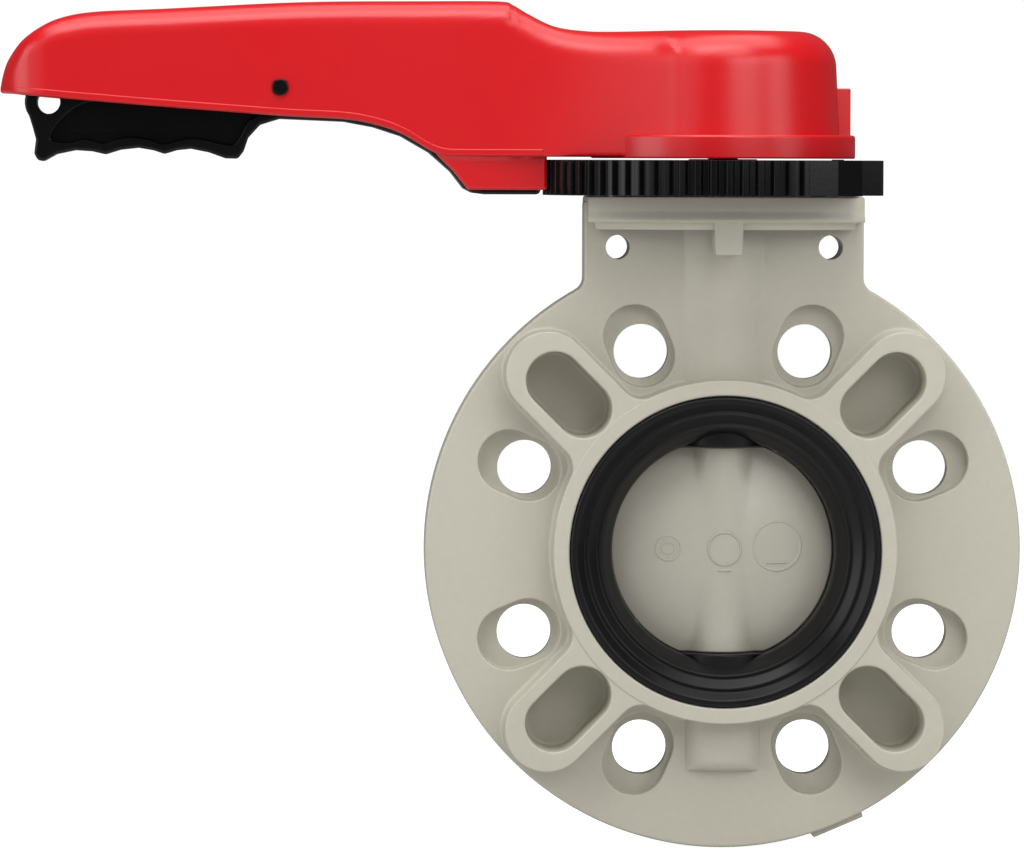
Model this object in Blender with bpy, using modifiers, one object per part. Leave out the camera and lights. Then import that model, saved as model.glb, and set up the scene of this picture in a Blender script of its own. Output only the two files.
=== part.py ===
# A plastic wafer butterfly valve, nominal bore 80 mm, with a squeeze-to-turn lever.
# Frame: origin in the middle of the bore, +Z up along the stem, the pipe runs along Y,
# the front face looks along -Y and the closed lever points along -X.
# Every size below is in millimetres; MM turns it into metres when a mesh is made.
import math

import bmesh
import bpy
from mathutils import Vector

MM = 0.001
GAP = 0.3

# pressure body
RIM_RADIUS = 104.2
PLATE_HALF = 9.0
FACE_HALF = 22.4
RING_RADIUS = 59.8
BODY_BORE_RADIUS = 47.0
LIP_RADIUS = 54.3
LIP_DEPTH = 17.3
HOLE_CIRCLE_RADIUS = 75.0
HOLE_RADIUS = 9.5
HOLE_COUNT = 8
RECESS_HALF_WIDTH = 11.0
RECESS_OUTER_CENTRE = 80.8
RECESS_DEPTH = 5.5
BOSS_HALF_WIDTH = 14.7
BOSS_OUTER_CENTRE = 88.0
BOSS_COUNT = 4
POCKET_HALF_WIDTH = 10.0
POCKET_CENTRES = (70.2, 84.2)
POCKET_FLOOR = 3.0
NECK_HALF_WIDTH = 48.8
NECK_FILLET = 5.0
NECK_HOLE_X = 37.2
NECK_HOLE_Z = 105.7
NECK_HOLE_RADIUS = 4.2
FLANGE_BOTTOM = 114.5
FLANGE_TOP = 123.4
FLANGE_DEPTH_MIDDLE = 34.0
FLANGE_DEPTH_SIDE = 20.0
COLUMN_RADIUS = 13.5
LOWER_BOSS_HALF_WIDTH = 12.6
LOWER_BOSS_END = 77.5
TAB_HALF_WIDTH = 5.1
TAB_BOTTOM = 103.2
TAB_REACH = 32.5
CUT_REACH = 40.0
CUT_TOP = 140.0

# stem line
STEM_RADIUS = 7.0
STEM_HOLE_RADIUS = 10.0
STEM_HOLE_BOTTOM = -77.0
STEM_BOTTOM = -76.4
STEM_SQUARE_HALF = 4.9
STEM_SHOULDER = 136.4
STEM_TOP = 152.6
RETAINER_POCKET_RADIUS = 14.3
RETAINER_POCKET_FLOOR = 117.0
RING_GROOVES = {"stem_o_ring_top": 82.0, "stem_o_ring_middle": 72.0, "stem_o_ring_bottom": -66.0}
GROOVE_RADIUS = 5.4
GROOVE_HALF_WIDTH = 1.3
O_RING_WIRE = 0.65

# seat and disc
SEAT_BORE_RADIUS = 39.3
SEAT_FACE = 23.0
SEAT_HUB_RADIUS = 12.3
SEAT_HUB_FLAT = 36.4
DISC_RADIUS = 38.9
DISC_FLAT = 36.0

# locking plate
PLATE_BOTTOM = 123.7
PLATE_TOP = 135.5
TOOTH_CREST_RADIUS = 63.0
TOOTH_ROOT_RADIUS = 60.8
TOOTH_PITCH = 5.0
TOOTH_COUNT = 24
TOOTH_START = 178.0
BOLT_X = 38.0
BOLT_Y = 14.0
BOLT_HOLE_BOTTOM = 115.6
BOLT_END = 116.0

THREAD_HOLE_RADIUS = 4.2
PLATE_HOLE_RADIUS = 4.3
PLATE_SINK_RADIUS = 6.8
PLATE_SINK_FLOOR = 129.4
PLATE_CENTRE_HOLE_RADIUS = 9.0
BOLT_HEAD_RADIUS = 6.4
BOLT_HEAD_BOTTOM = 129.8
BOLT_HEAD_TOP = 135.2
BOLT_SHANK_RADIUS = 3.9

# lever
HUB_BOTTOM = 136.6
HUB_TOP = 181.5
HUB_RADIUS = 40.6
HUB_RING_RADIUS = 46.2
HUB_RING_TOP = 144.8
ARM_HALF_WIDTH = 17.0
ARM_WALL = 3.0
NOSE_X = -252.0
SKIRT_END = -62.3
SKIRT_BOTTOM = 125.5
SKIRT_HALF_WIDTH = 16.5
CHANNEL_HALF_WIDTH = 13.2
PIN_X = -154.8
PIN_Z = 160.8
PIN_RADIUS = 2.0
LOCK_HOLE_X = -235.1
LOCK_HOLE_Z = 155.5
LOCK_HOLE_RADIUS = 4.1
TRIGGER_HALF_THICKNESS = 10.0
SPRING_X = -188.0
SPRING_LOW = 164.6
SPRING_HIGH = 184.2
SPRING_RADIUS = 4.2
SPRING_WIRE = 0.6
SPRING_TURNS = 4.5

# side view of the arm, nose first: (x, z) along the back and along the underside
ARM_TOP = [
    (-252.0, 162.5), (-250.6, 166.6), (-248.1, 170.9), (-243.6, 177.0), (-236.6, 182.2),
    (-229.0, 185.2), (-218.0, 186.9), (-194.5, 188.0), (-147.8, 190.4), (-106.0, 191.0),
    (-77.0, 191.1), (-68.5, 186.5), (-60.0, 182.6), (-50.0, 181.3), (-30.0, 181.2),
]
ARM_UNDERSIDE = [
    (-252.0, 159.5), (-248.0, 158.4), (-239.4, 157.5), (-199.4, 154.2), (-154.0, 150.9),
    (-132.7, 149.8), (-121.4, 147.8), (-112.3, 144.6), (-102.5, 138.9), (-97.0, 137.0),
    (-30.0, 137.0),
]


def circle_points(radius, count, start=0.0, sweep=360.0, centre=(0.0, 0.0)):
    # points on an arc; a full circle leaves out its repeated last point
    steps = count if sweep == 360.0 else count - 1
    angles = [math.radians(start + sweep * i / steps) for i in range(count)]
    return [(centre[0] + radius * math.cos(a), centre[1] + radius * math.sin(a)) for a in angles]


def slot_points(inner, outer, half_width, angle, count=9):
    # outline of a round-ended slot that lies along a ray from the origin
    ray = math.radians(angle)
    far = (outer * math.cos(ray), outer * math.sin(ray))
    near = (inner * math.cos(ray), inner * math.sin(ray))
    return (circle_points(half_width, count, angle - 90.0, 180.0, far)
            + circle_points(half_width, count, angle + 90.0, 180.0, near))


def empty_scene():
    for thing in list(bpy.data.objects):
        bpy.data.objects.remove(thing, do_unlink=True)


def new_collection(name):
    group = bpy.data.collections.new(name)
    bpy.context.scene.collection.children.link(group)
    return group


def principled(name, colour, roughness, metallic=0.0):
    surface = bpy.data.materials.new(name)
    surface.use_nodes = True
    shader = surface.node_tree.nodes["Principled BSDF"]
    shader.inputs["Base Color"].default_value = (*colour, 1.0)
    shader.inputs["Roughness"].default_value = roughness
    shader.inputs["Metallic"].default_value = metallic
    return surface


def add_object(name, mesh, group):
    thing = bpy.data.objects.new(name, mesh)
    group.objects.link(thing)
    return thing


def finish(thing, surface):
    # give a part its material and smooth shading with crisp edges
    thing.data.materials.clear()
    thing.data.materials.append(surface)
    thing.data.shade_smooth()
    thing.data.set_sharp_from_angle(angle=math.radians(35.0))
    return thing


def turned(name, profile, group, steps, axis="Z"):
    # closed (radius, height) profile swept round Z or Y with a Screw modifier
    mesh = bpy.data.meshes.new(name)
    corners = [(r * MM, 0.0, h * MM) for r, h in profile]
    touches_axis = profile[0][0] == 0.0 and profile[-1][0] == 0.0
    last = len(corners) - 1 if touches_axis else len(corners)
    edges = [(i, (i + 1) % len(corners)) for i in range(last)]
    mesh.from_pydata(corners, edges, [])
    thing = add_object(name, mesh, group)
    screw = thing.modifiers.new("turn", "SCREW")
    screw.steps = steps
    screw.render_steps = steps
    screw.use_merge_vertices = True
    screw.merge_threshold = 0.00001
    if axis == "Y":
        thing.rotation_euler = (-math.pi / 2.0, 0.0, 0.0)
    return thing


def extruded(name, outlines, low, high, group, axis="Z"):
    # flat outlines (a second one is a hole) given thickness along Z, Y or X
    curve = bpy.data.curves.new(name, "CURVE")
    curve.dimensions = "2D"
    curve.fill_mode = "BOTH"
    curve.extrude = (high - low) / 2.0 * MM
    for outline in outlines:
        spline = curve.splines.new("POLY")
        spline.points.add(len(outline) - 1)
        for point, (u, v) in zip(spline.points, outline):
            point.co = (u * MM, v * MM, 0.0, 1.0)
        spline.use_cyclic_u = True
    thing = bpy.data.objects.new(name, curve)
    group.objects.link(thing)
    middle = (high + low) / 2.0 * MM
    if axis == "Z":
        thing.location = (0.0, 0.0, middle)
    elif axis == "Y":
        thing.rotation_euler = (math.pi / 2.0, 0.0, 0.0)
        thing.location = (0.0, middle, 0.0)
    return curve_to_mesh(thing, group)


def curve_to_mesh(thing, group):
    bpy.context.view_layer.update()
    graph = bpy.context.evaluated_depsgraph_get()
    name = thing.name
    mesh = bpy.data.meshes.new_from_object(thing.evaluated_get(graph))
    place = thing.matrix_world.copy()
    shell = bmesh.new()
    shell.from_mesh(mesh)
    bmesh.ops.remove_doubles(shell, verts=shell.verts, dist=0.000005)
    bmesh.ops.recalc_face_normals(shell, faces=shell.faces)
    shell.to_mesh(mesh)
    shell.free()
    bpy.data.objects.remove(thing, do_unlink=True)
    solid = add_object(name, mesh, group)
    solid.name = name
    solid.matrix_world = place
    return solid


def cylinder(name, radius, low, high, group, centre=(0.0, 0.0), axis="Z", steps=24):
    # a round bar along Z or Y; centre is (x, y) for Z and (x, z) for Y
    shell = bmesh.new()
    bmesh.ops.create_cone(shell, cap_ends=True, segments=steps, radius1=radius * MM,
                          radius2=radius * MM, depth=(high - low) * MM)
    mesh = bpy.data.meshes.new(name)
    shell.to_mesh(mesh)
    shell.free()
    thing = add_object(name, mesh, group)
    middle = (high + low) / 2.0 * MM
    if axis == "Z":
        thing.location = (centre[0] * MM, centre[1] * MM, middle)
    else:
        thing.rotation_euler = (math.pi / 2.0, 0.0, 0.0)
        thing.location = (centre[0] * MM, middle, centre[1] * MM)
    return thing


def box(name, low, high, group):
    # an upright box between two corners
    shell = bmesh.new()
    bmesh.ops.create_cube(shell, size=1.0)
    size = [(b - a) * MM for a, b in zip(low, high)]
    bmesh.ops.scale(shell, vec=Vector(size), verts=shell.verts)
    mesh = bpy.data.meshes.new(name)
    shell.to_mesh(mesh)
    shell.free()
    thing = add_object(name, mesh, group)
    thing.location = [(a + b) / 2.0 * MM for a, b in zip(low, high)]
    return thing


def loft(name, rings, group):
    # skin over sections that differ in shape, with a face closing each end
    count = len(rings[0])
    shell = bmesh.new()
    rows = [[shell.verts.new([c * MM for c in point]) for point in ring] for ring in rings]
    for near, far in zip(rows, rows[1:]):
        for i in range(count):
            j = (i + 1) % count
            shell.faces.new((near[i], near[j], far[j], far[i]))
    shell.faces.new(rows[0])
    shell.faces.new(rows[-1])
    bmesh.ops.recalc_face_normals(shell, faces=shell.faces)
    mesh = bpy.data.meshes.new(name)
    shell.to_mesh(mesh)
    shell.free()
    return add_object(name, mesh, group)


def combine(target, tool, operation):
    # Boolean with a tool that stays in the cutters' collection
    tool.hide_render = True
    tool.display_type = "WIRE"
    step = target.modifiers.new(tool.name, "BOOLEAN")
    step.operation = operation
    step.object = tool
    step.solver = "EXACT"


def cut(target, *tools):
    for tool in tools:
        combine(target, tool, "DIFFERENCE")


def fuse(target, *tools):
    for tool in tools:
        combine(target, tool, "UNION")


def read_curve(points, x):
    # height of a side-view line at x, straight between its points
    for (x0, z0), (x1, z1) in zip(points, points[1:]):
        if x0 <= x <= x1:
            return z0 + (z1 - z0) * (x - x0) / (x1 - x0)
    return points[0][1] if x < points[0][0] else points[-1][1]


def keyhole_outline():
    # round plate with the neck's straight sides, joined by a small hollow corner
    reach = RIM_RADIUS + NECK_FILLET
    corner_x = NECK_HALF_WIDTH + NECK_FILLET
    corner_z = math.sqrt(reach ** 2 - corner_x ** 2)
    joint = math.degrees(math.atan2(corner_z, corner_x))
    right = circle_points(NECK_FILLET, 5, joint + 180.0, -joint, (corner_x, corner_z))
    left = [(-x, z) for x, z in reversed(right)]
    rim = circle_points(RIM_RADIUS, 73, 180.0 - joint, 180.0 + 2.0 * joint)
    top = [(NECK_HALF_WIDTH, FLANGE_TOP - 1.0), (-NECK_HALF_WIDTH, FLANGE_TOP - 1.0)]
    return rim[:-1] + right + top + left[:-1]


def flange_outline():
    # top flange seen from above: straight sides, bowed front and back
    rise = FLANGE_DEPTH_MIDDLE - FLANGE_DEPTH_SIDE
    radius = (NECK_HALF_WIDTH ** 2 + rise ** 2) / (2.0 * rise)
    centre = FLANGE_DEPTH_MIDDLE - radius
    half = math.degrees(math.asin(NECK_HALF_WIDTH / radius))
    back = circle_points(radius, 13, 90.0 - half, 2.0 * half, (0.0, centre))
    front = [(-x, -y) for x, y in back]
    return back + front


def make_body(parts, cutters, surface):
    body = extruded("valve_body", [keyhole_outline()], -PLATE_HALF, PLATE_HALF, parts, "Y")
    fuse(body, cylinder("ring_tool", RING_RADIUS, -FACE_HALF, FACE_HALF, cutters,
                        axis="Y", steps=64))
    for i in range(BOSS_COUNT):
        outline = slot_points(48.0, BOSS_OUTER_CENTRE, BOSS_HALF_WIDTH, 45.0 + 90.0 * i, 13)
        fuse(body, extruded(f"boss_tool_{i + 1}", [outline], -FACE_HALF, FACE_HALF, cutters, "Y"))
    fuse(body, cylinder("column_tool", COLUMN_RADIUS, 50.0, FLANGE_TOP - 2.0, cutters, steps=24))
    fuse(body, box("lower_boss_tool", (-LOWER_BOSS_HALF_WIDTH, -13.5, -LOWER_BOSS_END - 3.0),
                   (LOWER_BOSS_HALF_WIDTH, 13.5, -50.0), cutters))
    fuse(body, extruded("flange_tool", [flange_outline()], FLANGE_BOTTOM, FLANGE_TOP, cutters))
    fuse(body, box("tab_tool", (-TAB_HALF_WIDTH, -TAB_REACH, TAB_BOTTOM),
                   (TAB_HALF_WIDTH, TAB_REACH, FLANGE_BOTTOM + 2.0), cutters))
    cut_body(body, cutters)
    return finish(body, surface)


def cut_body(body, cutters):
    cut(body, cylinder("bore_tool", BODY_BORE_RADIUS, -CUT_REACH, CUT_REACH, cutters, axis="Y", steps=64))
    for side in (-1.0, 1.0):
        tag = "front" if side < 0.0 else "back"
        low, high = sorted((side * LIP_DEPTH, side * CUT_REACH))
        cut(body, cylinder(f"lip_{tag}_tool", LIP_RADIUS, low, high, cutters, axis="Y", steps=64))
        for i in range(BOSS_COUNT):
            low, high = sorted((side * POCKET_FLOOR, side * CUT_REACH))
            outline = slot_points(*POCKET_CENTRES, POCKET_HALF_WIDTH, 45.0 + 90.0 * i)
            cut(body, extruded(f"pocket_{tag}_{i + 1}_tool", [outline], low, high, cutters, "Y"))
        for i in range(HOLE_COUNT):
            low, high = sorted((side * (PLATE_HALF - RECESS_DEPTH), side * 16.0))
            angle = 22.5 + 45.0 * i
            outline = slot_points(73.4, RECESS_OUTER_CENTRE, RECESS_HALF_WIDTH, angle)
            cut(body, extruded(f"recess_{tag}_{i + 1}_tool", [outline], low, high, cutters, "Y"))
    for i in range(HOLE_COUNT):
        ray = math.radians(22.5 + 45.0 * i)
        centre = (HOLE_CIRCLE_RADIUS * math.cos(ray), HOLE_CIRCLE_RADIUS * math.sin(ray))
        cut(body, cylinder(f"hole_{i + 1}_tool", HOLE_RADIUS, -16.0, 16.0, cutters, centre,
                           "Y", 24))
    cut(body, cylinder("stem_hole_tool", STEM_HOLE_RADIUS, STEM_HOLE_BOTTOM, CUT_TOP, cutters))
    cut(body, cylinder("retainer_pocket_tool", RETAINER_POCKET_RADIUS, RETAINER_POCKET_FLOOR,
                       CUT_TOP, cutters))
    for side in (-1.0, 1.0):
        cut(body, cylinder(f"neck_hole_tool_{side:+.0f}", NECK_HOLE_RADIUS, -20.0, 20.0, cutters,
                           (side * NECK_HOLE_X, NECK_HOLE_Z), "Y", 20))
    for i, (x, y) in enumerate(bolt_places()):
        cut(body, cylinder(f"thread_tool_{i + 1}", THREAD_HOLE_RADIUS, BOLT_HOLE_BOTTOM, CUT_TOP,
                           cutters, (x, y), steps=12))


def bolt_places():
    return [(sx * BOLT_X, sy * BOLT_Y) for sx in (-1.0, 1.0) for sy in (-1.0, 1.0)]


def seat_profile():
    # (radius, distance along the pipe) of the liner; the face has three raised sealing ridges
    front = [
        (SEAT_BORE_RADIUS, -12.0), (42.4, -17.4), (43.4, -18.8), (44.4, -18.2), (47.9, -20.6),
        (48.8, -20.0), (51.6, -22.9), (54.0, -SEAT_FACE), (54.0, -17.6), (46.7, -17.6),
    ]
    back = [(r, -y) for r, y in reversed(front)]
    return front + back


def make_seat(parts, cutters, surface):
    seat = turned("seat_liner", ordered_ring(seat_profile()), parts, 48, "Y")
    for side, tag in ((1.0, "top"), (-1.0, "bottom")):
        low, high = sorted((side * SEAT_HUB_FLAT, side * 45.0))
        fuse(seat, cylinder(f"seat_hub_{tag}_tool", SEAT_HUB_RADIUS, low, high, cutters, steps=24))
    cut(seat, cylinder("seat_stem_tool", STEM_RADIUS + GAP, -60.0, 60.0, cutters))
    return finish(seat, surface)


def ordered_ring(points):
    # a closed ring profile turned so that its outer side runs from high to low
    area = sum(a[0] * b[1] - b[0] * a[1] for a, b in zip(points, points[1:] + points[:1]))
    return points[::-1] if area > 0.0 else points


def ring(name, inner, outer, low, high, parts, surface, steps=24):
    profile = ordered_ring([(outer, high), (outer, low), (inner, low), (inner, high)])
    return finish(turned(name, profile, parts, steps), surface)


def make_bushes(parts, surface):
    inner = STEM_RADIUS + GAP
    outer = STEM_HOLE_RADIUS - GAP
    ring("seat_bush_upper", inner, outer, 47.4, 56.0, parts, surface)
    ring("seat_bush_lower", inner, outer, -56.0, -47.4, parts, surface)
    ring("stem_bush_upper", inner, outer, 56.3, 116.7, parts, surface)
    ring("stem_bush_lower", inner, outer, -76.6, -56.3, parts, surface)


def make_stem(parts, cutters, surface):
    # full-length shaft with a collar under the retainer and grooves for three O-rings
    profile = [(0.0, STEM_SHOULDER), (STEM_RADIUS, STEM_SHOULDER)]
    profile += [(STEM_RADIUS, 120.0), (9.4, 120.0), (9.4, 117.3), (STEM_RADIUS, 117.3)]
    for height in RING_GROOVES.values():
        upper = height + GROOVE_HALF_WIDTH
        lower = height - GROOVE_HALF_WIDTH
        profile += [(STEM_RADIUS, upper), (GROOVE_RADIUS, upper)]
        profile += [(GROOVE_RADIUS, lower), (STEM_RADIUS, lower)]
    profile += [(STEM_RADIUS, STEM_BOTTOM + 1.0), (STEM_RADIUS - 1.0, STEM_BOTTOM)]
    profile += [(0.0, STEM_BOTTOM)]
    stem = turned("stem", profile, parts, 24)
    half = STEM_SQUARE_HALF
    fuse(stem, box("stem_square_tool", (-half, -half, 130.0), (half, half, STEM_TOP), cutters))
    cut(stem, cylinder("stem_thread_tool", 3.3, STEM_TOP - 18.0, STEM_TOP + 5.0, cutters, steps=12))
    return finish(stem, surface)


def make_o_rings(parts, surface):
    centre = GROOVE_RADIUS + GAP + O_RING_WIRE
    for name, height in RING_GROOVES.items():
        section = circle_points(O_RING_WIRE, 6, 0.0, 360.0, (centre, height))
        finish(turned(name, ordered_ring(section), parts, 20), surface)


def make_disc(parts, cutters, surface):
    # domed disc with the stem's boss across it and flats where it meets the seat's hubs
    dome = [(0.0, 9.0), (14.0, 8.2), (26.0, 6.2), (35.0, 3.6), (38.0, 2.4), (DISC_RADIUS, 1.6)]
    profile = dome + [(r, -h) for r, h in reversed(dome)]
    disc = turned("disc", profile, parts, 48, "Y")
    fuse(disc, cylinder("disc_hub_tool", 10.0, -DISC_FLAT, DISC_FLAT, cutters, steps=24))
    for side, tag in ((1.0, "top"), (-1.0, "bottom")):
        low, high = sorted((side * DISC_FLAT, side * 50.0))
        cut(disc, box(f"disc_flat_{tag}_tool", (-30.0, -20.0, low), (30.0, 20.0, high), cutters))
    cut(disc, cylinder("disc_stem_tool", STEM_RADIUS + GAP, -60.0, 60.0, cutters))
    return finish(disc, surface)


def locking_outline():
    # toothed quarter for the lever's latch, then a plain square corner with a lug
    teeth = []
    for i in range(TOOTH_COUNT):
        middle = TOOTH_START + TOOTH_PITCH * i
        for offset, radius in ((-1.6, TOOTH_ROOT_RADIUS), (-0.9, TOOTH_CREST_RADIUS),
                               (0.9, TOOTH_CREST_RADIUS), (1.6, TOOTH_ROOT_RADIUS)):
            ray = math.radians(middle + offset)
            teeth.append((radius * math.cos(ray), radius * math.sin(ray)))
    corner = [(36.0, -49.8), (45.2, -42.0), (48.6, -30.0), (48.6, -4.0), (56.1, -4.0),
              (56.1, 16.0), (48.6, 16.0), (48.6, 36.0), (-44.0, 36.0), (-56.0, 20.0),
              (-60.6, 6.0)]
    return teeth + corner


def make_locking_plate(parts, cutters, surface):
    hole = circle_points(PLATE_CENTRE_HOLE_RADIUS, 24)
    plate = extruded("locking_plate", [locking_outline(), hole], PLATE_BOTTOM, PLATE_TOP, parts)
    inner = PLATE_CENTRE_HOLE_RADIUS + 0.4
    collar = ordered_ring([(12.0, 136.3), (12.0, 134.0), (inner, 134.0), (inner, 136.3)])
    fuse(plate, turned("plate_collar_tool", collar, cutters, 24))
    fuse(plate, box("plate_stop_tool", (39.0, 4.0, 134.0), (43.0, 10.0, 136.2), cutters))
    for i, (x, y) in enumerate(bolt_places()):
        cut(plate,
            cylinder(f"plate_hole_tool_{i + 1}", PLATE_HOLE_RADIUS, 120.0, CUT_TOP, cutters,
                     (x, y), steps=12),
            cylinder(f"plate_sink_tool_{i + 1}", PLATE_SINK_RADIUS, PLATE_SINK_FLOOR, CUT_TOP,
                     cutters, (x, y), steps=16))
    return finish(plate, surface)


def make_plate_bolts(parts, cutters, surface):
    for i, (x, y) in enumerate(bolt_places()):
        name = f"plate_bolt_{i + 1}"
        profile = [(0.0, BOLT_HEAD_TOP), (BOLT_HEAD_RADIUS - 0.4, BOLT_HEAD_TOP),
                   (BOLT_HEAD_RADIUS, BOLT_HEAD_TOP - 0.4), (BOLT_HEAD_RADIUS, BOLT_HEAD_BOTTOM),
                   (BOLT_SHANK_RADIUS, BOLT_HEAD_BOTTOM), (BOLT_SHANK_RADIUS, BOLT_END + 0.5),
                   (BOLT_SHANK_RADIUS - 0.5, BOLT_END), (0.0, BOLT_END)]
        bolt = turned(name, profile, parts, 16)
        bolt.location = (x * MM, y * MM, 0.0)
        hexagon = circle_points(3.4, 6, 0.0, 360.0, (x, y))
        cut(bolt, extruded(f"{name}_key_tool", [hexagon], 131.4, CUT_TOP, cutters))
        finish(bolt, surface)


def arm_half_width(x):
    # narrow at the grip, rounded in at the nose, spreading into the hub
    if x < -234.0:
        return ARM_HALF_WIDTH * math.sqrt(max(0.02, 1.0 - ((-234.0 - x) / 18.6) ** 2))
    if x < -115.0:
        return ARM_HALF_WIDTH
    spread = (x + 115.0) / 85.0
    return ARM_HALF_WIDTH + 9.0 * spread ** 2 * (3.0 - 2.0 * spread)


def arm_section(x, inset, drop):
    # one cross-section: flat underside, upright sides and rounded shoulders
    top = read_curve(ARM_TOP, x) - inset
    bottom = read_curve(ARM_UNDERSIDE, x) - drop
    half = max(1.0, arm_half_width(x) - inset)
    radius = min(8.0, 0.7 * half, 0.4 * (top - bottom))
    shoulder = circle_points(radius, 4, 0.0, 90.0, (half - radius, top - radius))
    right = [(half, bottom)] + shoulder
    left = [(-y, z) for y, z in reversed(right)]
    return [(x, y, z) for y, z in right + left]


def arm_loft(name, start, end, inset, drop, group):
    stations = [x for x, z in ARM_TOP if start < x < end]
    stations += [x for x, z in ARM_UNDERSIDE if start < x < end and x not in stations]
    stations = sorted([start] + stations + [end])
    return loft(name, [arm_section(x, inset, drop) for x in stations], group)


def hub_profile():
    # turned hub: rounded crown, base ring, open inside around a central drive boss
    return [
        (13.6, HUB_TOP), (25.0, 181.2), (32.0, 179.4), (36.2, 175.0), (38.4, 169.0),
        (39.6, 160.0), (HUB_RADIUS, HUB_RING_TOP), (45.6, HUB_RING_TOP),
        (HUB_RING_RADIUS, HUB_RING_TOP - 0.8), (HUB_RING_RADIUS, HUB_BOTTOM),
        (36.6, HUB_BOTTOM), (35.6, 158.0), (33.0, 170.0), (27.0, 177.5), (17.6, 177.5),
        (17.6, 163.0), (14.6, 160.0), (14.6, 136.9), (4.4, 136.9), (4.4, 165.5), (13.6, 165.5),
    ]


def make_handle(parts, cutters, surface):
    handle = arm_loft("lever_handle", NOSE_X, -33.0, 0.0, 0.0, parts)
    cut(handle, arm_loft("arm_hollow_tool", NOSE_X + 5.5, -20.0, ARM_WALL, 14.0, cutters))
    skirt = [(-116.0, 147.4), (-112.3, 144.6), (-102.5, 138.9), (-94.9, 132.0),
             (-89.7, SKIRT_BOTTOM), (SKIRT_END, SKIRT_BOTTOM), (SKIRT_END, 145.0), (-108.0, 152.0)]
    fuse(handle, extruded("skirt_tool", [skirt], -SKIRT_HALF_WIDTH, SKIRT_HALF_WIDTH, cutters, "Y"))
    channel = [(-125.0, 110.0), (-45.0, 110.0), (-45.0, 141.0), (-80.0, 156.0), (-125.0, 156.0)]
    cut(handle, extruded("channel_tool", [channel], -CHANNEL_HALF_WIDTH, CHANNEL_HALF_WIDTH,
                         cutters, "Y"))
    fuse(handle, turned("hub_tool", ordered_ring(hub_profile()), cutters, 48))
    fuse(handle, box("fin_tool", (34.5, -1.6, HUB_RING_TOP - 2.0), (44.6, 1.6, 161.4), cutters))
    half = STEM_SQUARE_HALF + GAP
    cut(handle, box("socket_tool", (-half, -half, 130.0), (half, half, 153.4), cutters))
    cut(handle, cylinder("pin_hole_tool", PIN_RADIUS + GAP, -30.0, 30.0, cutters,
                         (PIN_X, PIN_Z), "Y", 12))
    return finish(handle, surface)


def make_handle_fastener(parts, cutters, steel, plastic):
    hexagon = circle_points(6.6, 6)
    bolt = extruded("lever_bolt", [hexagon], 167.4, 173.0, parts)
    fuse(bolt, cylinder("lever_bolt_shank_tool", 3.0, 138.0, 168.0, cutters, steps=12))
    finish(bolt, steel)
    ring("lever_washer", 3.4, 9.0, 165.8, 167.1, parts, steel, 24)
    cap = [(0.0, 181.4), (12.2, 181.2), (13.2, 180.4), (13.2, 176.0), (11.2, 176.0),
           (11.2, 178.4), (0.0, 178.4)]
    finish(turned("lever_cap", cap, parts, 24), plastic)


def trigger_outline():
    # padlock lobe, four-finger grip, rocker over the pin and the latch that meets the teeth
    lobe = circle_points(8.2, 7, 95.0, 120.0, (LOCK_HOLE_X, LOCK_HOLE_Z))
    grip = [(-240.6, 147.0), (-239.4, 142.6), (-240.0, 137.6), (-238.8, 135.4), (-236.8, 134.9),
            (-232.4, 137.4), (-225.8, 138.8), (-219.8, 138.4), (-215.3, 137.4), (-210.2, 139.0),
            (-203.9, 139.7), (-198.6, 138.8), (-194.9, 137.6), (-190.6, 138.9), (-185.8, 139.4),
            (-179.6, 138.2), (-173.7, 136.1), (-169.4, 136.0), (-167.4, 138.6), (-165.8, 143.3),
            (-161.7, 147.8), (-155.0, 149.9)]
    underside = [(-132.7, 149.0), (-122.4, 146.9), (-113.0, 143.7), (-103.2, 138.0),
                 (-95.8, 131.4), (-91.4, 125.8), (-88.0, 124.2), (-84.0, 123.7)]
    latch = [(-64.2, 123.7), (-64.2, 133.8), (-82.0, 134.6), (-92.0, 143.0), (-104.0, 152.4),
             (-120.0, 159.4), (-146.0, 163.6)]
    hub = circle_points(6.6, 6, 20.0, 140.0, (PIN_X, PIN_Z))
    back = [(-164.0, 163.0), (-224.0, 163.4)]
    return lobe + grip + underside + latch + hub + back


def make_trigger(parts, cutters, surface):
    hole = circle_points(PIN_RADIUS + GAP, 16, 0.0, 360.0, (PIN_X, PIN_Z))
    shackle = circle_points(LOCK_HOLE_RADIUS, 20, 0.0, 360.0, (LOCK_HOLE_X, LOCK_HOLE_Z))
    trigger = extruded("trigger", [trigger_outline(), hole, shackle],
                       -TRIGGER_HALF_THICKNESS, TRIGGER_HALF_THICKNESS, parts, "Y")
    place_origin(trigger, (PIN_X, 0.0, PIN_Z))
    return finish(trigger, surface)


def place_origin(thing, point):
    # move a mesh's own origin to a point without moving its surface
    bpy.context.view_layer.update()
    thing.data.transform(thing.matrix_world)
    thing.matrix_world.identity()
    target = Vector([c * MM for c in point])
    for corner in thing.data.vertices:
        corner.co -= target
    thing.rotation_euler = (0.0, 0.0, 0.0)
    thing.location = target


def make_pin(parts, surface):
    profile = [(0.0, 18.6), (PIN_RADIUS, 18.6), (PIN_RADIUS, -17.3), (2.85, -17.3),
               (2.85, -18.0), (2.4, -18.4), (0.0, -18.4)]
    pin = finish(turned("trigger_pin", profile, parts, 20, "Y"), surface)
    pin.location = (PIN_X * MM, 0.0, PIN_Z * MM)
    clip = ordered_ring([(4.4, 18.3), (4.4, 17.3), (PIN_RADIUS + GAP, 17.3), (PIN_RADIUS + GAP, 18.3)])
    clip = finish(turned("trigger_pin_clip", clip, parts, 20, "Y"), surface)
    clip.location = (PIN_X * MM, 0.0, PIN_Z * MM)


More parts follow.
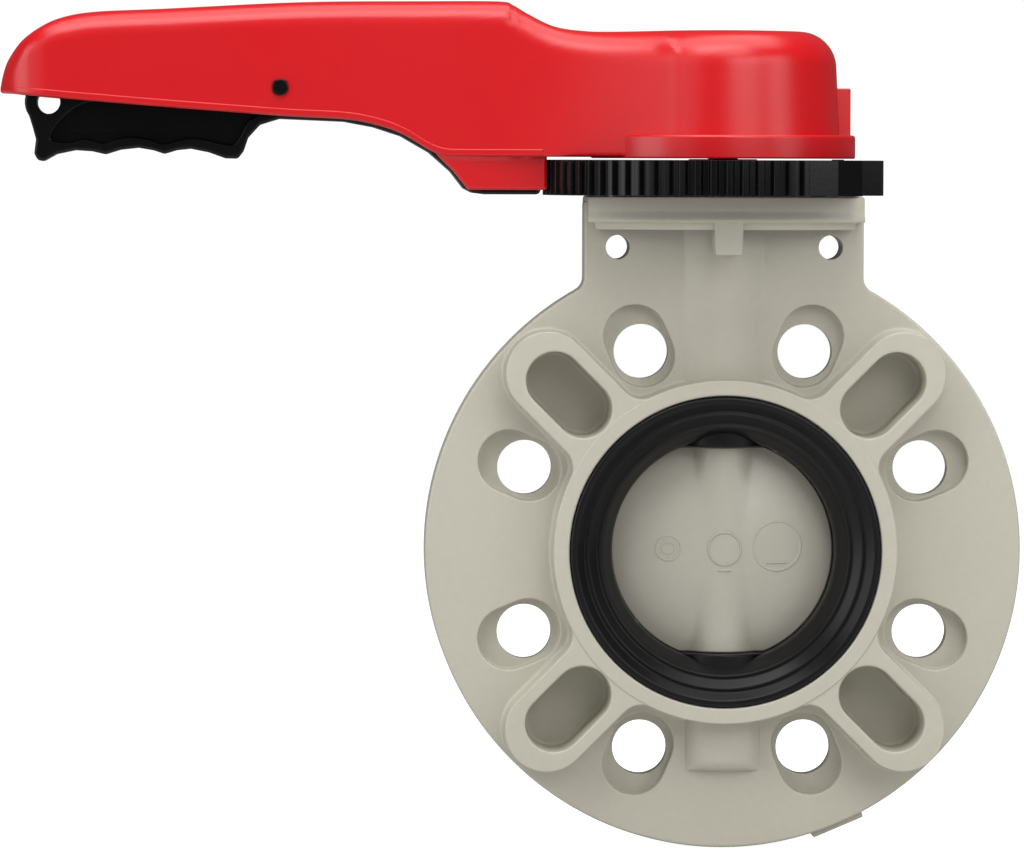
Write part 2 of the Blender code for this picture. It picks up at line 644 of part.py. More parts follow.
def make_spring(parts, surface):
    # compression spring between the trigger's back and the inside of the arm
    count = int(SPRING_TURNS * 10) + 1
    curve = bpy.data.curves.new("trigger_spring", "CURVE")
    curve.dimensions = "3D"
    curve.bevel_depth = SPRING_WIRE * MM
    curve.bevel_resolution = 2
    curve.use_fill_caps = True
    spline = curve.splines.new("POLY")
    spline.points.add(count - 1)
    for i, point in enumerate(spline.points):
        turn = 2.0 * math.pi * SPRING_TURNS * i / (count - 1)
        height = SPRING_LOW + (SPRING_HIGH - SPRING_LOW) * i / (count - 1)
        point.co = ((SPRING_X + SPRING_RADIUS * math.cos(turn)) * MM,
                    SPRING_RADIUS * math.sin(turn) * MM, height * MM, 1.0)
    thing = bpy.data.objects.new("trigger_spring", curve)
    parts.objects.link(thing)
    return finish(curve_to_mesh(thing, parts), surface)


def main():
    empty_scene()
    parts = new_collection("butterfly_valve")
    cutters = new_collection("cutters")
    beige = principled("body_plastic", (0.50, 0.485, 0.42), 0.45)
    rubber = principled("seat_rubber", (0.012, 0.013, 0.014), 0.55)
    steel = principled("stainless_steel", (0.62, 0.62, 0.61), 0.28, 1.0)
    black = principled("black_plastic", (0.010, 0.011, 0.011), 0.42)
    red = principled("red_plastic", (0.60, 0.012, 0.020), 0.35)
    bush = principled("bush_plastic", (0.68, 0.66, 0.60), 0.5)
    make_body(parts, cutters, beige)
    make_seat(parts, cutters, rubber)
    make_bushes(parts, bush)
    make_stem(parts, cutters, steel)
    make_o_rings(parts, rubber)
    ring("stem_retainer", STEM_RADIUS + GAP, RETAINER_POCKET_RADIUS - GAP, 120.3, 123.2,
         parts, steel)
    make_disc(parts, cutters, beige)
    make_locking_plate(parts, cutters, black)
    make_plate_bolts(parts, cutters, steel)
    make_handle(parts, cutters, red)
    make_handle_fastener(parts, cutters, steel, black)
    make_trigger(parts, cutters, black)
    make_pin(parts, black)
    make_spring(parts, steel)


main()
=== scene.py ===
import math

import bmesh
import bpy
import numpy as np
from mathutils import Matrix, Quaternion, Vector
from mathutils.geometry import delaunay_2d_cdt


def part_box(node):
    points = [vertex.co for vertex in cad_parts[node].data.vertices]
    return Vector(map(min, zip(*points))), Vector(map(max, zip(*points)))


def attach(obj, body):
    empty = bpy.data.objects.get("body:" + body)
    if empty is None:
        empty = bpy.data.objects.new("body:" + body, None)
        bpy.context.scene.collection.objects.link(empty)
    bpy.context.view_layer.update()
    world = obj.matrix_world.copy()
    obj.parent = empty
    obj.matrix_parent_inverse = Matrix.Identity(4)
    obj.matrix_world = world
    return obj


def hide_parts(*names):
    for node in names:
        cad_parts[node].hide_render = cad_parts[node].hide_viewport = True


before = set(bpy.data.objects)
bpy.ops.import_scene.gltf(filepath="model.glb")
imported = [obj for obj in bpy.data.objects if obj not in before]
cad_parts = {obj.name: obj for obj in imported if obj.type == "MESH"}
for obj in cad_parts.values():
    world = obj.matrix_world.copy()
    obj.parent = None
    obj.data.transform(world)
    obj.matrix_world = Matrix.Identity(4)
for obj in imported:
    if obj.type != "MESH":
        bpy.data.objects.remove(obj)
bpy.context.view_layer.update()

# Looks for a plastic wafer butterfly valve with a squeeze lever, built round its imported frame.
# Sizes are in millimetres, and mm turns them into metres when a mesh is made; only the camera,
# the lamps and the floor's half width are given in metres.
# Frame: origin in the middle of the bore, +Z up the stem, the pipe along Y, the lever along -X.
mm = 0.001
print("frame loaded:", len(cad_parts), "nodes")


def corner(node, end, axis):
    # one coordinate of a node's box, in millimetres; end is 0 for low and 1 for high
    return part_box(node)[end]["xyz".index(axis)] / mm


def arc(centre, radius, start, sweep, steps):
    # points on a circle: centre + radius * (cos a, sin a), with a going sweep degrees from start
    a = np.radians(np.linspace(start, start + sweep, steps + 1))
    return np.stack([centre[0] + radius * np.cos(a), centre[1] + radius * np.sin(a)], 1)


def circle(centre, radius, steps):
    return arc(centre, radius, 0.0, 360.0, steps)[:-1]


def ray(angle, length):
    return (length * math.cos(math.radians(angle)), length * math.sin(math.radians(angle)))


def slot(near, far, halfWidth, angle, steps=14):
    # round-ended slot along a ray from the origin: two half circles joined by straight sides
    return np.concatenate([arc(ray(angle, far), halfWidth, angle - 90.0, 180.0, steps),
                           arc(ray(angle, near), halfWidth, angle + 90.0, 180.0, steps)])


def tidyLoop(points, closed=True):
    # drop points that repeat the one before them
    step = np.linalg.norm(points - np.roll(points, 1, 0), axis=1)
    keep = step > 1e-4
    if not closed:
        keep[0] = True
    return points[keep]


def softCorners(points, radius, steps=4, closed=True):
    # each corner gives way to an arc that touches both its sides: the arc's centre lies on the
    # bisector, radius / sin(half angle) from the corner
    p = np.asarray(points, float)
    back = np.roll(p, 1, 0) - p
    on = np.roll(p, -1, 0) - p
    backLength = np.linalg.norm(back, axis=1)
    onLength = np.linalg.norm(on, axis=1)
    back = back / backLength[:, None]
    on = on / onLength[:, None]
    half = np.arccos(np.clip((back * on).sum(1), -1.0, 1.0)) / 2.0
    reach = np.minimum(np.broadcast_to(radius, half.shape) / np.tan(np.maximum(half, 1e-3)),
                       0.48 * np.minimum(backLength, onLength))
    r = reach * np.tan(np.minimum(half, 1.5707))
    bisector = back + on
    bisector /= np.maximum(np.linalg.norm(bisector, axis=1), 1e-9)[:, None]
    centre = p + bisector * (r / np.maximum(np.sin(half), 1e-6))[:, None]
    turn = np.where(back[:, 0] * on[:, 1] - back[:, 1] * on[:, 0] > 0.0, -1.0, 1.0)
    first = p + back * reach[:, None] - centre
    angle = turn[:, None] * (math.pi - 2.0 * half)[:, None] * np.linspace(0.0, 1.0, steps + 1)
    x = first[:, :1] * np.cos(angle) - first[:, 1:] * np.sin(angle)
    y = first[:, :1] * np.sin(angle) + first[:, 1:] * np.cos(angle)
    out = np.stack([centre[:, :1] + x, centre[:, 1:] + y], -1)
    straight = half > 1.55
    out[straight] = p[straight][:, None, :]
    if not closed:
        out[0] = p[0]
        out[-1] = p[-1]
    return tidyLoop(out.reshape(-1, 2), closed)


def curveThrough(points, steps=6, closed=True):
    # smooth curve through the points: a cubic on each span from its four nearest points
    p = np.asarray(points, float)
    if closed:
        q = np.concatenate([p[-1:], p, p[:2]])
    else:
        q = np.concatenate([2 * p[:1] - p[1:2], p, 2 * p[-1:] - p[-2:-1]])
    a, b, c, d = q[:-3], q[1:-2], q[2:-1], q[3:]
    t = np.linspace(0.0, 1.0, steps, endpoint=False)[None, :, None]
    a, b, c, d = (m[:, None, :] for m in (a, b, c, d))
    out = 0.5 * (2 * b + (c - a) * t + (2 * a - 5 * b + 4 * c - d) * t ** 2
                 + (3 * b - a - 3 * c + d) * t ** 3)
    out = out.reshape(-1, 2)
    return out if closed else np.concatenate([out, p[-1:]])


def outward(loop):
    # the loop turned anticlockwise, and at each point the unit direction away from the inside
    after = np.roll(loop, -1, 0)
    if (loop[:, 0] * after[:, 1] - after[:, 0] * loop[:, 1]).sum() < 0.0:
        loop = loop[::-1]
        after = np.roll(loop, -1, 0)
    edge = after - loop
    normal = np.stack([edge[:, 1], -edge[:, 0]], 1)
    normal /= np.linalg.norm(normal, axis=1)[:, None]
    normal = normal + np.roll(normal, 1, 0)
    return loop, normal / np.linalg.norm(normal, axis=1)[:, None]


def grown(loop, distance):
    # the loop moved outwards; distance may differ from point to point
    loop, normal = outward(loop)
    return loop + normal * np.reshape(distance, (-1, 1))


def smoothStep(low, high, x):
    t = np.clip((x - low) / (high - low), 0.0, 1.0)
    return t * t * (3.0 - 2.0 * t)


def roundedRim(edge, face):
    # profile of a wall that rounds into the face over the edge and runs back to the middle plane
    return [(-edge, face), (-0.45 * edge, face + 0.12 * edge), (-0.12 * edge, face + 0.45 * edge),
            (0.0, face + edge), (0.0, 0.0)]


def asFront(flat, height):
    # outline (x, z) placed at y = height
    return np.stack([flat[..., 0], np.broadcast_to(height, flat.shape[:-1]), flat[..., 1]], -1)


def asTop(flat, height):
    # outline (x, y) placed at z = height
    return np.stack([flat[..., 0], flat[..., 1], np.broadcast_to(height, flat.shape[:-1])], -1)


def newThing(name, data):
    thing = bpy.data.objects.new(name, data)
    bpy.context.scene.collection.objects.link(thing)
    return thing


class Skin:
    # the patches of one piece, welded into closed shells when the mesh is made

    def __init__(self):
        self.points = []
        self.faces = []
        self.count = 0

    def add(self, points, faces):
        self.points.append(points.reshape(-1, 3))
        self.faces.append((faces + self.count).tolist())
        self.count += len(self.points[-1])

    def grid(self, p, around=False, along=False):
        # four-sided faces between neighbours; around and along say which way the grid closes
        rows, columns = p.shape[:2]
        number = np.arange(rows * columns).reshape(rows, columns)
        if along:
            number = np.concatenate([number, number[:1]])
        if around:
            number = np.concatenate([number, number[:, :1]], 1)
        self.add(p, np.stack([number[:-1, :-1], number[1:, :-1], number[1:, 1:],
                              number[:-1, 1:]], -1).reshape(-1, 4))

    def sweep(self, loop, profile, place, weight=1.0):
        # profile of (distance outwards, height) carried round the loop
        loop, normal = outward(loop)
        rings = [place(loop + normal * np.reshape(d * weight, (-1, 1)), h) for d, h in profile]
        self.grid(np.array(rings), around=True)
        return loop + normal * np.reshape(profile[-1][0] * weight, (-1, 1))

    def region(self, loops, place, height):
        # flat face bounded by the first loop, with the other loops left open
        corners = np.concatenate(loops)
        edges = []
        start = 0
        for loop in loops:
            n = np.arange(len(loop))
            edges += np.stack([start + n, start + (n + 1) % len(loop)], 1).tolist()
            start += len(loop)
        found = delaunay_2d_cdt([Vector(c) for c in corners], edges, [], 0, 1e-7)
        points = np.array([tuple(v) for v in found[0]])
        triangles = np.array(found[2])
        middle = points[triangles].mean(1)
        inside = np.zeros(len(triangles), bool)
        for loop in loops:
            inside ^= insideLoop(middle, loop)
        self.add(place(points, height), triangles[inside])

    def prism(self, loop, low, high, edge, place):
        # outline given thickness, with edges rounded over a quarter circle on both faces
        turn = np.radians(np.linspace(0.0, 90.0, 4))
        out = -edge * (1.0 - np.sin(turn))
        up = edge * (1.0 - np.cos(turn))
        profile = [(d, low + h) for d, h in zip(out, up)]
        profile += [(d, high - h) for d, h in zip(out[::-1], up[::-1])]
        self.sweep(loop, profile, place)
        self.region([grown(loop, -edge)], place, low)
        self.region([grown(loop, -edge)], place, high)

    def turned(self, profile, steps, axis="z"):
        # closed (radius, height) profile spun round an axis; points on the axis weld into one
        profile = np.asarray(profile, float)
        a = np.radians(np.linspace(0.0, 360.0, steps, endpoint=False))[:, None]
        r, h = profile[:, 0], profile[:, 1] + 0.0 * a
        u, v = r * np.cos(a), r * np.sin(a)
        p = np.stack([u, v, h], -1) if axis == "z" else np.stack([u, h, v], -1)
        self.grid(p, around=bool(profile[0, 0] > 0.0), along=True)

    def mirrored(self, axis):
        # the same patches again on the other side of the middle plane
        flip = np.ones(3)
        flip[axis] = -1.0
        faces = sum(self.faces, [])
        points = np.concatenate(self.points)
        self.points.append(points * flip)
        self.faces.append([[n + self.count for n in face] for face in faces])
        self.count *= 2

    def build(self, name, material, body, nodes, crease=42.0):
        shell = bmesh.new()
        mesh = bpy.data.meshes.new(name)
        mesh.from_pydata((np.concatenate(self.points) * mm).tolist(), [], sum(self.faces, []))
        shell.from_mesh(mesh)
        bmesh.ops.remove_doubles(shell, verts=shell.verts, dist=2e-6)
        bmesh.ops.dissolve_degenerate(shell, edges=shell.edges, dist=1e-7)
        bmesh.ops.recalc_face_normals(shell, faces=shell.faces)
        shell.to_mesh(mesh)
        loose = sum(edge.is_boundary for edge in shell.edges)
        shell.free()
        shadeByArea(mesh, crease)
        mesh.materials.append(material)
        thing = newThing(name, mesh)
        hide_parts(*nodes)
        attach(thing, body)
        print(name, len(mesh.polygons), "faces,", loose, "open edges")


def insideLoop(points, loop):
    # even-odd rule: a ray to the right crosses the loop an odd number of times
    a, b = loop[None], np.roll(loop, -1, 0)[None]
    x, y = points[:, None, 0], points[:, None, 1]
    spans = (a[..., 1] > y) != (b[..., 1] > y)
    rise = np.where(spans, b[..., 1] - a[..., 1], 1.0)
    crossing = a[..., 0] + (y - a[..., 1]) * (b[..., 0] - a[..., 0]) / rise
    return (spans & (crossing > x)).sum(1) % 2 == 1


def shadeByArea(mesh, crease):
    # at each face corner, the mean of the touching faces' normals weighted by area, leaving out
    # faces that turn away by more than the crease angle
    count = len(mesh.loops)
    owner = np.empty(count, np.int64)
    mesh.loops.foreach_get("vertex_index", owner)
    sizes = np.empty(len(mesh.polygons), np.int64)
    mesh.polygons.foreach_get("loop_total", sizes)
    area = np.empty(len(sizes))
    mesh.polygons.foreach_get("area", area)
    normal = np.empty(len(sizes) * 3)
    mesh.polygons.foreach_get("normal", normal)
    order = np.argsort(owner, kind="stable")
    vertex = owner[order]
    n = np.repeat(normal.reshape(-1, 3), sizes, 0)[order]
    weighted = n * np.repeat(area, sizes)[order][:, None]
    total = weighted.copy()
    limit = math.cos(math.radians(crease))
    step = 1
    while step < count and (vertex[step:] == vertex[:-step]).any():
        close = (vertex[step:] == vertex[:-step]) & ((n[step:] * n[:-step]).sum(1) > limit)
        total[step:][close] += weighted[:-step][close]
        total[:-step][close] += weighted[step:][close]
        step += 1
    total /= np.maximum(np.linalg.norm(total, axis=1), 1e-20)[:, None]
    result = np.empty_like(total)
    result[order] = total
    mesh.shade_smooth()
    mesh.normals_split_custom_set(result.tolist())


def roundMax(a, b, radius):
    # overlap of two shapes with its edge rounded to an arc of that radius
    return (np.minimum(np.maximum(a, b), -radius)
            + np.hypot(np.maximum(a + radius, 0.0), np.maximum(b + radius, 0.0)))


def roundMin(a, b, radius):
    # two shapes joined, with a hollow fillet of that radius between them
    return (np.maximum(np.minimum(a, b), radius)
            - np.hypot(np.maximum(radius - a, 0.0), np.maximum(radius - b, 0.0)))


def netSkin(skin, shape, low, high, step):
    # skin of shape(x, y, z) < 0: one point in each cell that the surface crosses, at the mean of
    # its edge crossings and then moved onto the surface, and a face round each crossed grid edge
    axes = [np.arange(a, b + s, s) for a, b, s in zip(low, high, step)]
    field = shape(*np.meshgrid(*axes, indexing="ij"))
    inside = field < 0.0
    cells = tuple(n - 1 for n in field.shape)
    total = np.zeros((*cells, 3))
    count = np.zeros(cells)
    quads = []
    number = np.arange(np.prod(cells)).reshape(cells)
    for axis in range(3):
        f = np.moveaxis(field, axis, 0)
        held = np.moveaxis(inside, axis, 0)
        crossed = held[:-1] != held[1:]
        along = np.where(crossed, f[:-1] / np.where(crossed, f[:-1] - f[1:], 1.0), 0.0)
        others = [k for k in range(3) if k != axis]
        where = np.zeros((*crossed.shape, 3))
        where[..., axis] = axes[axis][:-1, None, None] + along * step[axis]
        where[..., others[0]] = axes[others[0]][None, :, None]
        where[..., others[1]] = axes[others[1]][None, None, :]
        # sums and counts are views, so what is added to them goes into total and count
        sums = np.moveaxis(total, axis, 0)
        counts = np.moveaxis(count, axis, 0)
        m, n = counts.shape[1:]
        for j in (0, 1):
            for k in (0, 1):
                hit = crossed[:, j:j + m, k:k + n]
                sums += where[:, j:j + m, k:k + n] * hit[..., None]
                counts += hit
        ids = np.moveaxis(number, axis, 0)
        i, j, k = np.nonzero(crossed[:, 1:-1, 1:-1])
        quads.append(np.stack([ids[i, j, k], ids[i, j + 1, k], ids[i, j + 1, k + 1],
                               ids[i, j, k + 1]], 1))
    quads = np.concatenate(quads)
    used, faces = np.unique(quads, return_inverse=True)
    points = (total.reshape(-1, 3) / np.maximum(count.reshape(-1, 1), 1.0))[used]
    tiny = 0.02
    for _ in range(3):
        value = shape(*points.T)
        slope = np.stack([(shape(*(points + tiny * e).T) - shape(*(points - tiny * e).T))
                          / (2.0 * tiny) for e in np.eye(3)], 1)
        move = slope * (value / np.maximum((slope ** 2).sum(1), 0.25))[:, None]
        points = points - np.clip(move, -0.4, 0.4)
    skin.add(points, faces.reshape(-1, 4))


def link(tree, a, b):
    tree.links.new(a, b)


def feed(tree, socket, value):
    # another node's output is linked to the socket; a number or a colour is set on it
    if isinstance(value, bpy.types.NodeSocket):
        link(tree, value, socket)
    else:
        socket.default_value = value


def newNode(tree, kind, **values):
    node = tree.nodes.new(kind)
    for key, value in values.items():
        setattr(node, key, value)
    return node


def groupShell(name, inputs, outputs):
    tree = bpy.data.node_groups.new(name, "ShaderNodeTree")
    for label, kind, value in inputs:
        socket = tree.interface.new_socket(label, in_out="INPUT", socket_type=kind)
        socket.default_value = value
    for label, kind in outputs:
        tree.interface.new_socket(label, in_out="OUTPUT", socket_type=kind)
    return tree, tree.nodes.new("NodeGroupInput"), tree.nodes.new("NodeGroupOutput")


def noise(tree, coordinates, scale, detail=3.0, roughness=0.5):
    node = newNode(tree, "ShaderNodeTexNoise")
    node.inputs["Detail"].default_value = detail
    node.inputs["Roughness"].default_value = roughness
    feed(tree, node.inputs["Scale"], scale)
    link(tree, coordinates, node.inputs["Vector"])
    return node.outputs["Fac"]


def math2(tree, operation, a, b, clamp=False):
    node = newNode(tree, "ShaderNodeMath", operation=operation, use_clamp=clamp)
    feed(tree, node.inputs[0], a)
    feed(tree, node.inputs[1], b)
    return node.outputs[0]


def mixColour(tree, factor, a, b):
    # colour a where the factor is 0 and colour b where it is 1
    node = newNode(tree, "ShaderNodeMix", data_type="RGBA")
    link(tree, factor, node.inputs["Factor"])
    feed(tree, node.inputs["A"], a)
    feed(tree, node.inputs["B"], b)
    return node.outputs["Result"]


def addGroup(tree, shared, values):
    # a shared node group placed in the tree, its named inputs fed from values
    node = newNode(tree, "ShaderNodeGroup", node_tree=shared)
    for label, value in values.items():
        feed(tree, node.inputs[label], value)
    return node


def addBump(tree, shader, height, strength):
    bump = newNode(tree, "ShaderNodeBump")
    bump.inputs["Strength"].default_value = strength
    bump.inputs["Distance"].default_value = 0.0002
    link(tree, height, bump.inputs["Height"])
    link(tree, bump.outputs[0], shader.inputs["Normal"])


def newSurface(name):
    # a material with its tree, its shader and the coordinates that its patterns follow
    surface = bpy.data.materials.new(name)
    surface.use_nodes = True
    tree = surface.node_tree
    where = newNode(tree, "ShaderNodeTexCoord").outputs["Object"]
    return surface, tree, tree.nodes["Principled BSDF"], where


def makeMoulding():
    # moulded plastic: the colour leans to the cloud colour by twice the cloud noise, held at 1,
    # and brightens and darkens with the specks; the height is specks plus a finer grain, and the
    # roughness wanders with the clouds
    tree, given, put = groupShell("mouldedPlastic", [
        ("Coordinates", "NodeSocketVector", (0.0, 0.0, 0.0)),
        ("Colour", "NodeSocketColor", (0.5, 0.5, 0.5, 1.0)),
        ("Cloud Colour", "NodeSocketColor", (0.4, 0.4, 0.4, 1.0)),
        ("Clouds", "NodeSocketFloat", 0.3),
        ("Specks", "NodeSocketFloat", 0.1),
        ("Grain Scale", "NodeSocketFloat", 2500.0),
        ("Roughness", "NodeSocketFloat", 0.4),
        ("Roughness Spread", "NodeSocketFloat", 0.06)],
        [("Colour", "NodeSocketColor"), ("Roughness", "NodeSocketFloat"),
         ("Height", "NodeSocketFloat")])
    where = given.outputs["Coordinates"]
    cloud = noise(tree, where, 22.0, 4.0, 0.55)
    fine = noise(tree, where, 340.0, 3.0, 0.6)
    grain = noise(tree, where, given.outputs["Grain Scale"], 2.0, 0.5)
    amount = math2(tree, "MULTIPLY", math2(tree, "MULTIPLY", cloud, 2.0, True),
                   given.outputs["Clouds"])
    speck = math2(tree, "MULTIPLY", math2(tree, "SUBTRACT", fine, 0.5), given.outputs["Specks"])
    shade = newNode(tree, "ShaderNodeVectorMath", operation="SCALE")
    link(tree, mixColour(tree, amount, given.outputs["Colour"], given.outputs["Cloud Colour"]),
         shade.inputs[0])
    link(tree, math2(tree, "ADD", speck, 1.0), shade.inputs["Scale"])
    link(tree, shade.outputs[0], put.inputs["Colour"])
    drift = math2(tree, "MULTIPLY", math2(tree, "SUBTRACT", cloud, 0.5),
                  given.outputs["Roughness Spread"])
    link(tree, math2(tree, "ADD", drift, given.outputs["Roughness"]), put.inputs["Roughness"])
    link(tree, math2(tree, "ADD", math2(tree, "MULTIPLY", grain, 0.35), fine),
         put.inputs["Height"])
    return tree


def makeScuffs():
    # long fine handling marks: noise squeezed along one direction, kept only where it peaks
    tree, given, put = groupShell("scuffs", [
        ("Coordinates", "NodeSocketVector", (0.0, 0.0, 0.0)),
        ("Stretch", "NodeSocketVector", (1.0, 1.0, 14.0)),
        ("Scale", "NodeSocketFloat", 60.0),
        ("Amount", "NodeSocketFloat", 0.3)],
        [("Mask", "NodeSocketFloat")])
    scaled = newNode(tree, "ShaderNodeVectorMath", operation="MULTIPLY")
    link(tree, given.outputs["Coordinates"], scaled.inputs[0])
    link(tree, given.outputs["Stretch"], scaled.inputs[1])
    field = noise(tree, scaled.outputs[0], given.outputs["Scale"], 4.0, 0.6)
    peak = math2(tree, "MULTIPLY", math2(tree, "SUBTRACT", field, 0.6), 5.0, True)
    link(tree, math2(tree, "MULTIPLY", peak, given.outputs["Amount"]), put.inputs["Mask"])
    return tree


moulding = makeMoulding()
scuffs = makeScuffs()

finishes = {
    "beigePlastic": dict(colour=(0.512, 0.492, 0.415), cloudColour=(0.455, 0.436, 0.362),
                         clouds=0.5, specks=0.10, grain=1400.0, roughness=0.40, spread=0.10,
                         bump=0.10, scuff=0.05, specular=0.45),
    "discPlastic": dict(colour=(0.45, 0.432, 0.372), cloudColour=(0.39, 0.372, 0.31),
                        clouds=0.5, specks=0.10, grain=1400.0, roughness=0.34, spread=0.10,
                        bump=0.08, scuff=0.05, specular=0.5),
    "redPlastic": dict(colour=(0.60, 0.0050, 0.0090), cloudColour=(0.51, 0.0040, 0.0078),
                       clouds=0.4, specks=0.05, grain=1600.0, roughness=0.30, spread=0.10,
                       bump=0.06, scuff=0.08, specular=0.5),
    "blackPlastic": dict(colour=(0.0020, 0.0021, 0.0023), cloudColour=(0.0040, 0.0040, 0.0040),
                         clouds=0.5, specks=0.3, grain=900.0, roughness=0.22, spread=0.16,
                         bump=0.14, scuff=0.10, specular=0.24),
    "seatRubber": dict(colour=(0.0030, 0.0031, 0.0036), cloudColour=(0.0050, 0.0050, 0.0058),
                       clouds=0.6, specks=0.3, grain=1800.0, roughness=0.34, spread=0.16,
                       bump=0.12, scuff=0.10, specular=0.24),
    "bushPlastic": dict(colour=(0.62, 0.60, 0.54), cloudColour=(0.55, 0.53, 0.47),
                        clouds=0.4, specks=0.1, grain=1500.0, roughness=0.5, spread=0.08,
                        bump=0.1, scuff=0.05, specular=0.4),
}
steel = {"colour": (0.60, 0.60, 0.59), "roughness": 0.22, "stretch": 30.0, "scale": 120.0,
         "scuff": 0.4, "bump": 0.1}


def plasticFinish(name, v):
    surface, tree, shader, where = newSurface(name)
    mould = addGroup(tree, moulding, {
        "Coordinates": where, "Colour": (*v["colour"], 1.0),
        "Cloud Colour": (*v["cloudColour"], 1.0), "Clouds": v["clouds"], "Specks": v["specks"],
        "Grain Scale": v["grain"], "Roughness": v["roughness"], "Roughness Spread": v["spread"]})
    marks = addGroup(tree, scuffs, {"Coordinates": where, "Amount": v["scuff"]})
    link(tree, mould.outputs["Colour"], shader.inputs["Base Color"])
    link(tree, math2(tree, "ADD", mould.outputs["Roughness"], marks.outputs["Mask"], True),
         shader.inputs["Roughness"])
    addBump(tree, shader, mould.outputs["Height"], v["bump"])
    shader.inputs["Specular IOR Level"].default_value = v["specular"]
    return surface


def steelFinish(name, v):
    # turned steel: fine streaks across the axis in colour, roughness and height
    surface, tree, shader, where = newSurface(name)
    marks = addGroup(tree, scuffs, {"Coordinates": where, "Stretch": (1.0, 1.0, v["stretch"]),
                                    "Scale": v["scale"], "Amount": v["scuff"]}).outputs["Mask"]
    tone = mixColour(tree, marks, (*v["colour"], 1.0), (*(0.8 * c for c in v["colour"]), 1.0))
    link(tree, tone, shader.inputs["Base Color"])
    link(tree, math2(tree, "ADD", marks, v["roughness"]), shader.inputs["Roughness"])
    addBump(tree, shader, marks, v["bump"])
    shader.inputs["Metallic"].default_value = 1.0
    return surface


finish = {name: plasticFinish(name, values) for name, values in finishes.items()}
finish["stainless"] = steelFinish("stainless", steel)
print("finishes ready:", len(finish))


rim = corner("valve_body", 1, "x")

body = {
    "platePlane": 9.0, "rimEdge": 1.0,
    "facePlane": 22.3, "ringRadius": 59.8, "ringFace": 22.65,
    "bossHalfWidth": 14.7, "bossCentre": 87.6, "bossFillet": 8.0,
    "pocketHalfWidth": 10.0, "pocketCentres": (70.2, 84.2), "pocketFloor": 2.2,
    "recessHalfWidth": 11.0, "recessCentres": (73.4, 80.8), "recessFloor": 3.5,
    "holeCircle": 75.0, "holeRadius": 9.5,
    "lipRadius": 54.3, "lipFloor": 17.3, "boreRadius": 47.0,
    "neckHalfWidth": 48.8, "neckFillet": 5.0, "neckTop": 122.0,
    "neckHoleX": 37.2, "neckHoleZ": 105.7, "neckHoleRadius": 4.2,
}


def keyholeOutline():
    # the rim's circle and the neck's straight sides, joined by a small hollow arc whose centre
    # lies one fillet outside both
    b = body
    reach = rim + b["neckFillet"]
    cx = b["neckHalfWidth"] + b["neckFillet"]
    cz = math.sqrt(reach ** 2 - cx ** 2)
    join = math.degrees(math.atan2(cz, cx))
    right = arc((cx, cz), b["neckFillet"], join + 180.0, -join, 6)
    left = right[::-1] * (-1.0, 1.0)
    around = arc((0.0, 0.0), rim, 180.0 - join, 180.0 + 2.0 * join, 150)
    top = arc((b["neckHalfWidth"] - 1.5, b["neckTop"] - 1.5), 1.5, 0.0, 90.0, 4)
    return np.concatenate([around[:-1], right, top, top[::-1] * (-1.0, 1.0), left[:-1]])


def bossOutline():
    # the ring's circle with four round-ended bosses; the corner between a boss's side and the
    # ring is an arc whose centre lies one fillet outside both
    b = body
    outer = b["ringRadius"] + b["bossFillet"]
    side = b["bossHalfWidth"] + b["bossFillet"]
    swing = math.degrees(math.asin(side / outer))
    parts = []
    for i in range(4):
        angle = 45.0 + 90.0 * i
        parts.append(arc(ray(angle - swing, outer), b["bossFillet"], angle - swing + 180.0,
                         swing - 90.0, 8))
        parts.append(arc(ray(angle, b["bossCentre"]), b["bossHalfWidth"], angle - 90.0, 180.0, 24))
        parts.append(arc(ray(angle + swing, outer), b["bossFillet"], angle - 90.0,
                         swing - 90.0, 8))
        parts.append(arc((0.0, 0.0), b["ringRadius"], angle + swing, 90.0 - 2.0 * swing, 16)[1:-1])
    return np.concatenate(parts)


